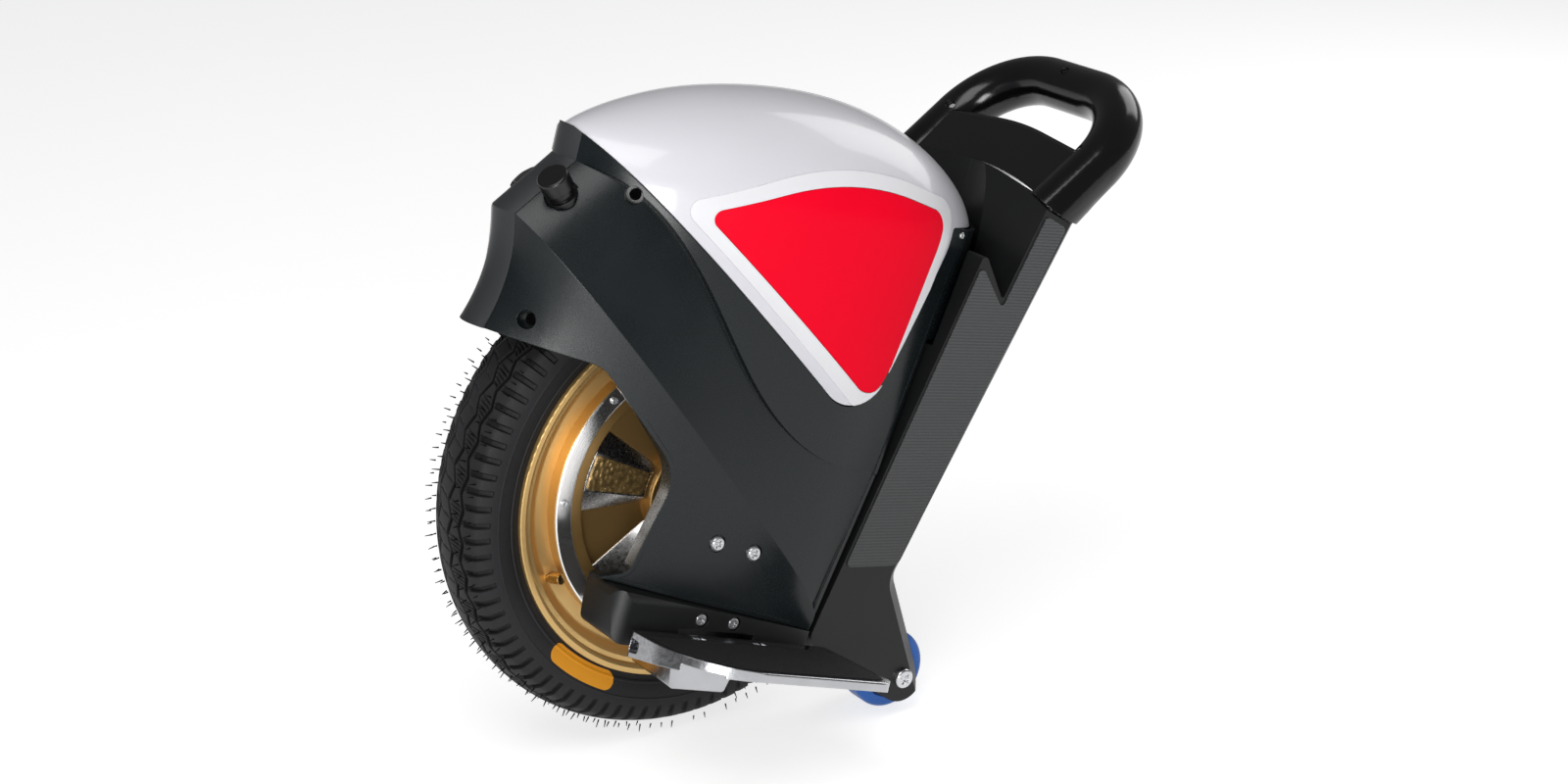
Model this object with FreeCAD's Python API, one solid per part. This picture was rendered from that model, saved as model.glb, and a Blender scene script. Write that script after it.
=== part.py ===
import FreeCAD, Part
import math
import os

# Electric unicycle, standing on its tyre and its two rear rollers.
# Everything is drawn in the riding pose: origin at the wheel centre, +X to the rear, +Y to the rider's
# right, +Z up, millimetres and degrees. The last section leans the whole machine back onto its rollers
# and puts the origin under the middle of its outer box.

V = FreeCAD.Vector
os.makedirs("parts", exist_ok=True)

# Driving dimensions: wheel and hub motor
TYRE_R = 181.0
TYRE_WIDTH = 64.0
TREAD_BLOCKS = 36
SEAT_R = 127.0
FLANGE_R = 137.5
RIM_WIDTH = 60.0
CAN_R = 100.0
CAN_HALF = 18.0
COVER_R = 110.0
COVER_FACE = 28.0
RING_INNER_R = 97.0
SPOKES = 5
SPOKE_PHASE = 86.0
RING_SCREWS = 8
VALVE_PHASE = 130.0
STATOR_R = 94.0
STATOR_TEETH = 18
MAGNETS = 20
AXLE_R = 8.0
AXLE_REACH = 68.0
BEARING_R = 17.0
FIT = 0.05

# Driving dimensions: body shells
BODY_HALF = 100.0
PLAN_X = 64.0
PLAN_FRONT = 226.0
PLAN_REAR = 118.0
MASK_HALF = 16.0
WALL = 3.0
SEAM = 0.5
DOME_TOP = (40.0, 295.0)
DOME_FRONT_Z = 236.0
DOME_REAR_Z = 240.0
CROWN = 76.0
FLAP_TIP = (74.0, 78.0)
FLAP_FRONT = (-143.0, 225.0)
FLAP_REAR = (118.0, 232.0)
FLAP_ROUND = 30.0
NOSE_TOP = (-158.0, 237.0)
NOSE_DECK = (-157.0, 215.0)
NOSE_RIDGE = (-192.0, 172.0)
NOSE_HEM = (-194.0, 88.0)
NOSE_ROUND = 6.0
WAIST = 7.0
STEP = 6.0
STRIP_END = (60.0, 52.0)
RIDGE_SLOPE = -0.816
RIDGE_SWELL = 2.0
HEM_LOW = -84.0
FENDER_Z = 90.0
GAP_LOW = (79.0, -70.0)
GAP_TOP = (133.0, 217.0)
SHELL_HOLES = ((-126.0, 204.0), (-173.0, 106.0))
HOLE_R = 6.5
HOLE_DEPTH = 10.0

# Driving dimensions: rear column, handle and rollers
COLUMN_HALF = 103.0
COLUMN_GAP = 4.0
COLUMN_LEAN = 14.5
COLUMN_TOP = (200.0, 256.0)
SEAM_RISE = 17.0
HANDLE_LEAN = 36.5
HANDLE_HALF = 85.0
HANDLE_RISE = 111.0
HANDLE_BEND = 60.0
GRIP_R = 18.5
GRIP_DEEP = 19.5
LEG_DEEP = 22.0
WEB_TOP = 58.0
HANDLE_GAP = 1.5
TUBE_R = 8.0
TUBE_LENGTH = 255.0
ROLLER_R = 30.0
ROLLER_WIDTH = 24.0
ROLLER_X = 177.0
ROLLER_Y = 76.0
LEAN = 19.0

# Driving dimensions: pedals and their frame
FORK_Y = 47.0
FORK_THICK = 10.0
FORK_HALF = 25.0
FRAME_SCREWS = ((-14.0, -16.0), (16.0, -19.0))
HANGER_SCREWS = ((-15.0, -69.5), (13.0, -70.0))
HEAD_SINK = 3.4
HANGER_TOP = (-54.0, -70.0)
HANGER_BOTTOM = -92.0
HANGER_X = (-90.0, 80.0)
BRACKET_BOTTOM = -122.0
HINGE = (-111.0, -84.0)
KNUCKLE_R = 6.0
PIN_R = 3.0
KNUCKLE_HALF = 21.0
EAR = 9.0
PEDAL_X = (-78.0, 90.0)
PEDAL_REACH = 86.0
PEDAL_RISE = 6.0
PEDAL_THICK = (18.0, 7.0)
PEDAL_TILT = 4.0
PEDAL_SWEEP = 58.0
PAD_INSET = 5.0
PAD_DEPTH = 2.0

# Driving dimensions: controls on the nose deck
CONTROL_SPOT = (-171.0, -28.0, 195.0)
CONTROL_AXIS = (-0.75, -0.22, 0.63)
CAP_R = 11.0
CAP_HEIGHT = 21.0
CAP_BASE = 9.0
PORT_R = 7.0
BUTTON_R = 7.5
BUTTON_TRAVEL = 2.0

ORIGIN = V(0, 0, 0)
X_AXIS = V(1, 0, 0)
Y_AXIS = V(0, 1, 0)
Z_AXIS = V(0, 0, 1)
ROLLER_Z = (ROLLER_X * math.sin(math.radians(LEAN)) - TYRE_R + ROLLER_R) / math.cos(math.radians(LEAN))


# Small drawing helpers

def side(y):
    """Places a drawing made in side view (x, z) at the cross position y."""
    return lambda p: V(p.x, y, p.y)


def cross(x):
    """Places a drawing made in end view (y, z) at the length position x."""
    return lambda p: V(x, p.x, p.y)


def plan(z):
    """Places a drawing made in plan view (x, y) at the height z."""
    return lambda p: V(p.x, p.y, z)


def outline(corners, place):
    """Closed outline through corners (a, b) or (a, b, radius); a radius rounds its corner."""
    count = len(corners)
    points = [V(c[0], c[1], 0) for c in corners]
    spans = []
    for i in range(count):
        here = points[i]
        if len(corners[i]) < 3:
            spans.append((here, None, here))
            continue
        radius = corners[i][2]
        back = (points[i - 1] - here).normalize()
        ahead = (points[(i + 1) % count] - here).normalize()
        half = back.getAngle(ahead) / 2.0
        reach = radius / math.tan(half)
        middle = (back + ahead).normalize() * (radius / math.sin(half) - radius)
        spans.append((here + back * reach, here + middle, here + ahead * reach))
    edges = []
    for i in range(count):
        start, middle, end = spans[i]
        if middle is not None:
            edges.append(Part.Arc(place(start), place(middle), place(end)).toShape())
        follow = spans[(i + 1) % count][0]
        if (follow - end).Length > 1e-6:
            edges.append(Part.makeLine(place(end), place(follow)))
    return Part.Wire(edges)


def slab(corners, y0, y1):
    """Side-view outline pushed across from y0 to y1."""
    return Part.Face(outline(corners, side(y0))).extrude(V(0, y1 - y0, 0))


def bar(corners, x0, x1):
    """End-view outline pushed along from x0 to x1."""
    return Part.Face(outline(corners, cross(x0))).extrude(V(x1 - x0, 0, 0))


def plate(corners, z0, z1):
    """Plan-view outline pushed up from z0 to z1."""
    return Part.Face(outline(corners, plan(z0))).extrude(V(0, 0, z1 - z0))


def box(x0, x1, y0, y1, z0, z1):
    return Part.makeBox(x1 - x0, y1 - y0, z1 - z0, V(x0, y0, z0))


def soft_box(x0, x1, y0, y1, z0, z1, radius):
    """Box with rounded upright edges in side view."""
    corners = [(x0, z0, radius), (x1, z0, radius), (x1, z1, radius), (x0, z1, radius)]
    return slab(corners, y0, y1)


def rod(radius, start, end):
    """Round bar between two points."""
    along = end - start
    return Part.makeCylinder(radius, along.Length, start, along)


def tube(outer, inner, start, end):
    """Round tube between two points."""
    return rod(outer, start, end).cut(rod(inner, start, end))


def spun(profile):
    """Outline of (radius, y) corners turned about the axle."""
    face = Part.Face(outline(profile, lambda p: V(0, p.y, p.x)))
    return face.revolve(ORIGIN, Y_AXIS, 360)


def turned(shape, angle):
    """Copy of a shape turned about the axle, angle measured from straight up to the front."""
    copy = shape.copy()
    copy.rotate(ORIGIN, Y_AXIS, -angle)
    return copy


def mirrored(shape):
    """The twin on the other side of the machine."""
    return shape.mirror(ORIGIN, Y_AXIS)


def joined(shapes):
    """One solid from touching pieces."""
    return shapes[0].fuse(shapes[1:]).removeSplitter()


def group(shapes):
    """Several loose pieces of one kind, kept together."""
    return Part.makeCompound(shapes)


def pan_screw(head_r, head_h, shank_r, shank, seat, out):
    """Round-headed screw with a cross recess: seat lies under the head, out points off the work."""
    normal = V(out).normalize()
    across = normal.cross(V(0.3, 0.4, 0.8)).normalize()
    upright = normal.cross(across)
    arm = head_r * 0.56
    slot = head_r * 0.15
    head = Part.makeCylinder(head_r, head_h, seat, normal)
    rim = [e for e in head.Edges if (e.CenterOfMass - seat).dot(normal) > head_h * 0.9]
    head = head.makeFillet(head_h * 0.45, rim[:1])
    corners = [(-slot, -arm), (slot, -arm), (slot, -slot), (arm, -slot), (arm, slot), (slot, slot), (slot, arm),
               (-slot, arm), (-slot, slot), (-arm, slot), (-arm, -slot), (-slot, -slot)]
    floor = seat + normal * head_h * 0.45
    cross_wire = outline(corners, lambda p: floor + across * p.x + upright * p.y)
    socket = Part.Face(cross_wire).extrude(normal * head_h)
    body = Part.makeCylinder(shank_r, shank, seat - normal * shank, normal)
    return head.fuse(body).removeSplitter().cut(socket)


parts = {}


def pair(name, left):
    """Keeps a left-hand piece and its mirrored right-hand twin."""
    parts[name + "_left"] = left
    parts[name + "_right"] = mirrored(left)


def both(name, *left):
    """Keeps left-hand pieces and their twins together as one kind."""
    parts[name] = group(list(left) + [mirrored(piece) for piece in left])


# Wheel: tyre, tube, rim and valve

def make_tyre():
    half = TYRE_WIDTH / 2.0
    crown = TYRE_R - 9.0
    bead = RIM_WIDTH / 2.0 - 5.6
    lip = FLANGE_R + 1.5
    toe = SEAT_R + 0.5
    roof = TYRE_R - 10.0
    middle = (toe + roof) / 2.0

    def at(radius, y):
        return V(0, y, radius)

    edges = [
        Part.Arc(at(crown, 4 - half), at(TYRE_R, 0), at(crown, half - 4)).toShape(),
        Part.Arc(at(crown, half - 4), at(crown - 16, half), at(lip, bead + 1.6)).toShape(),
        Part.makeLine(at(lip, bead + 1.6), at(toe, bead)),
        Part.makeLine(at(toe, bead), at(toe, bead - 6)),
        Part.Arc(at(toe, bead - 6), at(middle, half - 8), at(roof, 0)).toShape(),
        Part.Arc(at(roof, 0), at(middle, 8 - half), at(toe, 6 - bead)).toShape(),
        Part.makeLine(at(toe, 6 - bead), at(toe, -bead)),
        Part.makeLine(at(toe, -bead), at(lip, -bead - 1.6)),
        Part.Arc(at(lip, -bead - 1.6), at(crown - 16, -half), at(crown, 4 - half)).toShape(),
    ]
    carcass = Part.Face(Part.Wire(edges)).revolve(ORIGIN, Y_AXIS, 360)
    pitch = 360.0 / TREAD_BLOCKS
    leg = math.radians(pitch / 2.0) * TYRE_R
    slant = math.degrees(math.atan2(5.0, leg))
    cutters = []
    # Two zig-zag rib grooves round the crown: each leg of the zig-zag is one short slanted cutter.
    for k in range(TREAD_BLOCKS * 2):
        for y in (-9.0, 9.0):
            cut = box(-leg * 0.56, leg * 0.56, -1.3, 1.3, TYRE_R - 3.6, TYRE_R + 6)
            cut.rotate(ORIGIN, Z_AXIS, slant if k % 2 else -slant)
            cut.translate(V(0, y, 0))
            cutters.append(turned(cut, k * pitch / 2.0))
    # Slanted shoulder grooves between the outer blocks.
    for k in range(TREAD_BLOCKS):
        for sign in (-1, 1):
            cut = box(-1.6, 1.6, -9, 9, crown - 3.5, TYRE_R + 6)
            cut.rotate(ORIGIN, Z_AXIS, sign * 24)
            cut.translate(V(0, sign * (half - 6.0), 0))
            cutters.append(turned(cut, (k + 0.5 * (sign > 0)) * pitch))
    return carcass.cut(cutters)


def make_inner_tube():
    radius = (TYRE_R - 10.0 - SEAT_R) / 2.0 - 2.5
    return Part.makeTorus(SEAT_R + radius + 1.5, radius, ORIGIN, Y_AXIS)


VALVE_FROM = V(0, -4.0, SEAT_R - 4.0)
VALVE_TO = V(0, -27.0, SEAT_R - 13.0)


def make_rim():
    w = RIM_WIDTH / 2.0
    near = [
        (FLANGE_R, w, 1.0), (FLANGE_R, w - 3.5), (SEAT_R, w - 5.0), (SEAT_R, w - 13.0), (SEAT_R - 9, 9.0),
    ]
    face = [
        (CAN_R, CAN_HALF), (FLANGE_R - 17, CAN_HALF, 3.0), (FLANGE_R - 11, w - 6.0), (FLANGE_R - 7, w - 5.0),
        (FLANGE_R - 6, w - 1.5), (FLANGE_R - 4, w),
    ]
    profile = near + [(c[0], -c[1]) + c[2:] for c in reversed(near)]
    profile += [(c[0], -c[1]) + c[2:] for c in reversed(face)] + face
    rim = spun(profile)
    return rim.cut(turned(rod(3.3, VALVE_FROM, VALVE_TO), VALVE_PHASE))


def make_valve():
    along = (VALVE_TO - VALVE_FROM).normalize()
    stem = rod(3.0, VALVE_FROM, VALVE_TO)
    cap = rod(4.0, VALVE_TO - along * 7, VALVE_TO + along * 1.5)
    return turned(joined([stem, cap]), VALVE_PHASE)


# Hub motor: covers, spokes, trim rings, magnets, stator, axle and bearings

def make_cover():
    inner = 15.0
    lip = COVER_FACE + 3.0
    profile = [
        (BEARING_R + FIT, -inner), (CAN_R - 0.3, -inner), (CAN_R - 0.3, -CAN_HALF), (COVER_R, -CAN_HALF),
        (COVER_R, -COVER_FACE), (RING_INNER_R - 9, -COVER_FACE, 1.5), (RING_INNER_R - 9, -inner - 4),
        (36.0, -inner - 4), (34.0, -lip, 2.0), (AXLE_R + 3, -lip), (AXLE_R + 3, 1.5 - COVER_FACE),
        (BEARING_R + FIT, 1.5 - COVER_FACE),
    ]
    return spun(profile)


def make_spokes():
    floor = -19.0
    top = 1.5 - COVER_FACE
    low = [(-13, 28), (13, 28), (36, 95), (-36, 95)]
    high = [(-9.0, 28), (9.0, 28), (15.0, 95), (-15.0, 95)]
    wires = []
    for y, corners in ((floor, low), (top, high)):
        wires.append(outline(corners, side(y)))
    spoke = Part.makeLoft(wires, True, True)
    keep = tube(RING_INNER_R - 9.3, 36.4, V(0, -40, 0), V(0, -10, 0))
    spoke = spoke.common(keep)
    pad_corners = [(-8.4, 39, 2), (8.4, 39, 2), (12.9, RING_INNER_R - 12, 2), (-12.9, RING_INNER_R - 12, 2)]
    pad = slab(pad_corners, top, top - 1.2)
    step = 360.0 / SPOKES
    spokes = [turned(spoke, SPOKE_PHASE + k * step) for k in range(SPOKES)]
    pads = [turned(pad, SPOKE_PHASE + k * step) for k in range(SPOKES)]
    return spokes, pads


def make_trim_ring():
    top = COVER_FACE + 1.4
    ring = spun([
        (RING_INNER_R, -COVER_FACE), (COVER_R - 0.5, -COVER_FACE), (COVER_R - 0.5, 0.5 - top),
        (COVER_R - 1.5, -top), (RING_INNER_R + 1, -top), (RING_INNER_R, 0.5 - top),
    ])
    middle = (RING_INNER_R + COVER_R) / 2.0
    hole = rod(1.6, V(0, -COVER_FACE, middle), V(0, -top, middle))
    return ring.cut([turned(hole, angle) for angle in ring_angles()])


def ring_angles():
    return [SPOKE_PHASE + 14 + k * 360.0 / RING_SCREWS for k in range(RING_SCREWS)]


def make_ring_screws():
    middle = (RING_INNER_R + COVER_R) / 2.0
    seat = V(0, -COVER_FACE - 1.4, middle)
    screw = pan_screw(2.7, 1.8, 1.3, 1.0, seat, V(0, -1, 0))
    return [turned(screw, angle) for angle in ring_angles()]


def make_magnets():
    magnet = box(-12.5, 12.5, -11, 11, STATOR_R, CAN_R + 4)
    magnet = magnet.common(tube(CAN_R - 0.3, STATOR_R + 1.5, V(0, -20, 0), V(0, 20, 0)))
    return group([turned(magnet, k * 360.0 / MAGNETS) for k in range(MAGNETS)])


def make_stator():
    yoke = tube(64.0, 50.0, V(0, -11, 0), V(0, 11, 0))
    tooth = box(-8.0, 8.0, -11, 11, 60, STATOR_R + 2)
    tooth = tooth.common(rod(STATOR_R, V(0, -20, 0), V(0, 20, 0)))
    coil = box(-11.0, 11.0, -14, 14, 66.5, 88).cut(box(-8.3, 8.3, -11.3, 11.3, 60, 95))
    step = 360.0 / STATOR_TEETH
    teeth = [turned(tooth, k * step) for k in range(STATOR_TEETH)]
    coils = [turned(coil, k * step) for k in range(STATOR_TEETH)]
    hub = spun([(12.0, -8), (30, -8), (36, -4), (50, -6), (50, 6), (36, 4), (30, 8), (12.0, 8)])
    return joined([yoke] + teeth), group(coils), hub


def make_axle():
    axle = joined([
        rod(AXLE_R, V(0, -AXLE_REACH, 0), V(0, AXLE_REACH, 0)),
        rod(12.0, V(0, -13, 0), V(0, 13, 0)),
    ])
    nut_from = FORK_Y + FORK_THICK
    hexagon = [(14 * math.cos(math.radians(60 * k)), 14 * math.sin(math.radians(60 * k))) for k in range(6)]
    nuts = []
    for sign in (-1, 1):
        nut = slab(hexagon, sign * nut_from, sign * (nut_from + 9))
        nuts.append(nut.cut(rod(AXLE_R, V(0, -90, 0), V(0, 90, 0))))
    return axle, group(nuts)


def make_bearing():
    return tube(BEARING_R, AXLE_R + FIT, V(0, 2.0 - COVER_FACE, 0), V(0, -13.6, 0))


# Body skin: plan egg, dome crown and the shell's leading lines

def dome_height(x):
    """Height of the dome's ridge: two arcs that share their top."""
    ends = (PLAN_X - PLAN_FRONT, DOME_FRONT_Z) if x < DOME_TOP[0] else (PLAN_X + PLAN_REAR, DOME_REAR_Z)
    run = ends[0] - DOME_TOP[0]
    fall = DOME_TOP[1] - ends[1]
    radius = (run * run + fall * fall) / (2.0 * fall)
    return DOME_TOP[1] - radius + math.sqrt(radius * radius - (x - DOME_TOP[0]) ** 2)


def make_dome_solid(inset):
    """Helmet shape without its side cut-outs; inset shrinks it evenly."""
    stations = [(a, PLAN_FRONT) for a in (7, 16, 28, 42, 58, 74, 90)]
    stations += [(180 - a, PLAN_REAR) for a in (72, 54, 38, 24, 12)]
    half_round = Part.Arc(V(0, -1, 0), V(0, 0, 1), V(0, 1, 0)).toShape()
    low = FLAP_TIP[1]
    wires = []
    for angle, length in stations:
        turn = math.radians(angle)
        x = PLAN_X - (length - inset) * math.cos(turn)
        half = (BODY_HALF - inset) * math.sin(turn)
        top = dome_height(PLAN_X - length * math.cos(turn)) - inset
        spring = top - CROWN * math.sin(turn) ** 0.8
        stretch = FreeCAD.Matrix(1, 0, 0, x, 0, half, 0, 0, 0, 0, top - spring, spring, 0, 0, 0, 1)
        wires.append(Part.Wire([
            half_round.transformGeometry(stretch),
            Part.makeLine(V(x, half, spring), V(x, half, low)),
            Part.makeLine(V(x, half, low), V(x, -half, low)),
            Part.makeLine(V(x, -half, low), V(x, -half, spring)),
        ]))
    return Part.makeLoft(wires, True, False)


def flap_region(margin):
    """Side-view block that holds the dome: everything above its V-shaped hem, moved in by a margin."""
    fall = (FLAP_TIP[1] - FLAP_FRONT[1]) / (FLAP_TIP[0] - FLAP_FRONT[0])
    climb = (FLAP_REAR[1] - FLAP_TIP[1]) / (FLAP_REAR[0] - FLAP_TIP[0])
    start = -230.0
    lift = margin * 1.3
    return slab([
        (start, FLAP_TIP[1] + fall * (start - FLAP_TIP[0]) + lift),
        (FLAP_TIP[0], FLAP_TIP[1] + margin * 1.7, FLAP_ROUND),
        (FLAP_TIP[0] + (FLAP_REAR[1] + margin - FLAP_TIP[1]) / climb - margin * 0.9, FLAP_REAR[1] + margin, 4.0),
        (260.0, FLAP_REAR[1] + margin), (260.0, 400.0), (start, 400.0),
    ], -150, 150)


PANEL = [(-86.0, 205.0, 7.0), (14.0, 254.0, 180.0), (104.0, 241.0, 12.0), (83.0, 96.0, 16.0)]
BORDER = [(-104.0, 207.0, 9.0), (12.0, 265.0, 190.0), (115.0, 249.0, 14.0), (88.0, 79.0, 22.0)]


def make_dome():
    """Dome shell with a shallow recess on each flap, and the two inset panels."""
    outer = make_dome_solid(0.0)
    middle = make_dome_solid(1.4)
    inner = make_dome_solid(WALL)
    raised = make_dome_solid(-1.0)
    region = flap_region(0.0)
    shell = outer.cut(inner)
    border = raised.cut(inner).common(slab(BORDER, -150, 150))
    shell = shell.fuse(border).common(region)
    skin = raised.cut(middle)
    shell = shell.cut(skin.common(slab(PANEL, -150, 150)))
    panel_face = Part.Face(outline(PANEL, side(-150)).makeOffset2D(-0.4))
    panel = skin.common(panel_face.extrude(V(0, 150, 0))).common(flap_region(2.0))
    nose = box(-400, NOSE_TOP[0] - NOSE_ROUND, -200, 200, 0, 400)
    return shell.cut(nose), panel


# Front mask and side shells

def strip_z(x):
    """Height of the crease under the upper strip: a soft S from the nose deck to its end."""
    span = (x - NOSE_DECK[0]) / (STRIP_END[0] - NOSE_DECK[0])
    mid = (NOSE_DECK[1] + STRIP_END[1]) / 2.0
    swing = (NOSE_DECK[1] - STRIP_END[1]) / 2.0
    return mid + swing * math.cos(math.pi * min(span, 1.0))


def ridge_z(x):
    return NOSE_RIDGE[1] + RIDGE_SLOPE * (x - NOSE_RIDGE[0])


def hem_z(x):
    left = 1.0 - min((x - NOSE_HEM[0]) / (PLAN_X - NOSE_HEM[0]), 1.0)
    return HEM_LOW + (NOSE_HEM[1] - HEM_LOW) * left ** 4


def gap_x(z):
    """Rear edge line of the side shell."""
    return GAP_LOW[0] + (z - GAP_LOW[1]) * (GAP_TOP[0] - GAP_LOW[0]) / (GAP_TOP[1] - GAP_LOW[1])


def line_point(share, nose_x, half):
    """Plan point and inward direction on one body line; share 0 at the mask seam, 1 at the widest."""
    first = math.asin(MASK_HALF / half)
    turn = first + (math.pi / 2.0 - first) * share
    length = (PLAN_X - nose_x) / math.cos(first)
    inward = V(math.cos(turn) / length, math.sin(turn) / half, 0).normalize()
    return V(PLAN_X - length * math.cos(turn), -half * math.sin(turn), 0), inward


def shell_station(share):
    """Five outer points of the side shell and their inward directions, from the top to the hem."""
    step = max(STEP * math.sin(math.pi * share), 0.6)
    rows = []
    top, way = line_point(share, NOSE_TOP[0], BODY_HALF)
    rows.append((V(top.x, top.y, NOSE_TOP[1]), way))
    strip, way = line_point(share, NOSE_DECK[0], BODY_HALF)
    rows.append((V(strip.x, strip.y, strip_z(strip.x)), way))
    rows.append((V(strip.x, strip.y, strip_z(strip.x) - step * 0.4) + way * (step if share else 0), way))
    ridge, way = line_point(share, NOSE_RIDGE[0], BODY_HALF + RIDGE_SWELL * share)
    rows.append((V(ridge.x, ridge.y, ridge_z(ridge.x)), way))
    hem, way = line_point(share, NOSE_HEM[0], BODY_HALF - RIDGE_SWELL * share)
    rows.append((V(hem.x, hem.y, hem_z(hem.x)), way))
    return rows


def last_station():
    """The same five points on the rear edge plane."""
    rows = []
    x = gap_x(NOSE_TOP[1])
    half = BODY_HALF * math.sqrt(1.0 - ((x - PLAN_X) / PLAN_REAR) ** 2)
    heights = (NOSE_TOP[1], STRIP_END[1] - 2, STRIP_END[1] - 3, ridge_z(PLAN_X) - 20, HEM_LOW - 4)
    halves = (half, BODY_HALF, BODY_HALF - 0.6, BODY_HALF + RIDGE_SWELL, BODY_HALF - RIDGE_SWELL)
    for z, y in zip(heights, halves):
        rows.append((V(gap_x(z), -y, z), V(0, 1, 0)))
    return rows


def shell_wire(rows, share, depth, floor=None):
    """Closed section of the shell: the outer line, then the same line moved in by depth or a flat floor."""
    flat = share == 0

    def moved(point, way, amount):
        return point + (V(amount * 1.06, 0, 0) if flat else way * amount)

    def flank(amount):
        ridge = moved(rows[3][0], rows[3][1], amount)
        hem = moved(rows[4][0], rows[4][1], amount)
        waist = (ridge + hem) * 0.5
        waist = moved(waist, rows[4][1], WAIST * (1.0 - share))
        curve = Part.BSplineCurve()
        curve.interpolate([ridge, waist, hem])
        return curve.toShape()

    outer = [row[0] for row in rows]
    edges = [Part.makeLine(outer[k], outer[k + 1]) for k in range(3)]
    edges.append(flank(0.0))
    if floor is None:
        inner = [moved(row[0], row[1], depth) for row in rows]
        edges.append(Part.makeLine(outer[4], inner[4]))
        edges.append(flank(depth))
        edges += [Part.makeLine(inner[k], inner[k - 1]) for k in (3, 2, 1)]
        edges.append(Part.makeLine(inner[0], outer[0]))
    else:
        low = V(outer[4].x, floor, outer[4].z)
        high = V(outer[0].x, floor, outer[0].z)
        edges.append(Part.makeLine(outer[4], low))
        edges.append(Part.makeLine(low, high))
        edges.append(Part.makeLine(high, outer[0]))
    return Part.Wire(edges)


SHARES = (0.0, 0.1, 0.22, 0.36, 0.54, 0.76, 1.0)


def shell_hem():
    """Side-view outline of the side shell: fender, wheel arch, hanger line and rear edge."""
    def foot(x):
        share = (x - HANGER_X[0]) / (HANGER_X[1] - HANGER_X[0])
        return HANGER_TOP[0] + (HANGER_TOP[1] - HANGER_TOP[0]) * share + SEAM

    return [
        (-230.0, FENDER_Z + 4), (-125.0, FENDER_Z - 1, 22.0), (-57.0, 27.0, 34.0), (-72.0, -46.0, 10.0),
        (-92.0, foot(-92.0)), (GAP_LOW[0], foot(GAP_LOW[0])), (gap_x(NOSE_TOP[1]), NOSE_TOP[1]), (-230.0, 260.0),
    ]


def make_side_shell():
    sections = [(share, shell_station(share)) for share in SHARES] + [(1.0, last_station())]
    skin = Part.makeLoft([shell_wire(rows, share, WALL) for share, rows in sections], True, False)
    solid = Part.makeLoft([shell_wire(rows, share, 0, -52.0) for share, rows in sections[3:]], True, False)
    hem = shell_hem()
    shell = skin.common(slab(hem, -150, 0))
    edge = Part.Face(outline(hem, side(-150)))
    inside = Part.Face(outline(hem, side(-150)).makeOffset2D(-WALL))
    flange = edge.cut(inside).extrude(V(0, 150 - BODY_HALF + 26, 0)).common(solid)
    shell = shell.fuse(flange)
    shell = shell.cut(flap_region(-SEAM))
    def skin_y(x, z):
        return min(v.Y for v in skin.common(Part.makeLine(V(x, -150, z), V(x, 0, z))).Vertexes)

    # Deep screw holes square to the skin: each one is a closed cup with a screw at its bottom.
    screws = []
    posts = []
    for x, z in SHELL_HOLES:
        spot = V(x, skin_y(x, z), z)
        inward = V((PLAN_X - x) / PLAN_FRONT ** 2, -spot.y / BODY_HALF ** 2, 0).normalize()
        seat = spot + inward * HOLE_DEPTH
        cup = tube(HOLE_R + 2, HOLE_R, spot - inward * 10, seat)
        cup = cup.fuse(tube(HOLE_R + 2, 2.3, seat, seat + inward * 2)).removeSplitter()
        cup = max(cup.cut(skin).Solids, key=lambda piece: (piece.CenterOfMass - spot).dot(inward))
        shell = shell.fuse(cup.cut(flap_region(-SEAM)))
        shell = shell.cut(rod(HOLE_R, spot - inward * 10, seat))
        screws.append(pan_screw(4.0, 2.6, 2.0, 1.5, seat, inward * -1))
    for x, z in FRAME_SCREWS:
        surface = skin_y(x, z)
        shell = shell.cut(rod(6.4, V(x, surface - 20, z), V(x, surface + 0.8, z)))
        shell = shell.cut(rod(2.7, V(x, surface, z), V(x, surface + 10, z)))
        reach = surface + 0.8 + FORK_Y + 6
        screws.append(pan_screw(5.2, 3.2, 2.5, -reach, V(x, surface + 0.8, z), V(0, -1, 0)))
        posts.append(surface + WALL + 2.5)
    # Spot-faced hole for the charge port; its twin on the other side takes the power button.
    axis = V(*CONTROL_AXIS).normalize()
    spot = V(*CONTROL_SPOT)
    crossing = skin.common(Part.makeLine(spot - axis * 40, spot + axis * 20))
    seat = spot + axis * (max((vertex.Point - spot).dot(axis) for vertex in crossing.Vertexes) - 1.2)
    shell = shell.cut(rod(PORT_R + 2.0, seat - axis * 30, seat))
    shell = shell.cut(rod(PORT_R + 5.0, seat, seat + axis * 30))
    return shell, screws, posts, seat


def make_mask():
    """Narrow nose strip between the two side shells, bowed a little across."""
    def section(y, bow):
        def at(point, inset):
            return V(point[0] - bow + inset, y, point[1])

        wires = []
        for inset in (0.0, WALL):
            top = at(NOSE_TOP, inset)
            deck = at(NOSE_DECK, inset)
            ridge = at(NOSE_RIDGE, inset)
            hem = at((NOSE_HEM[0], FENDER_Z + 2), inset)
            waist = (ridge + hem) * 0.5 + V(WAIST, 0, 0)
            curve = Part.BSplineCurve()
            curve.interpolate([ridge, waist, hem])
            wires.append((top, deck, ridge, curve.toShape(), hem))
        a, b = wires
        return Part.Wire([
            Part.makeLine(a[0], a[1]), Part.makeLine(a[1], a[2]), a[3], Part.makeLine(a[4], b[4]),
            b[3], Part.makeLine(b[2], b[1]), Part.makeLine(b[1], b[0]), Part.makeLine(b[0], a[0]),
        ])

    edge = MASK_HALF - SEAM
    mask = Part.makeLoft([section(-edge, 0.0), section(0.0, NOSE_ROUND), section(edge, 0.0)], True, False)
    return mask.cut(flap_region(-SEAM))


# Rear column: two halves, side panels, collar behind the dome and the handle's guide tubes

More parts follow.
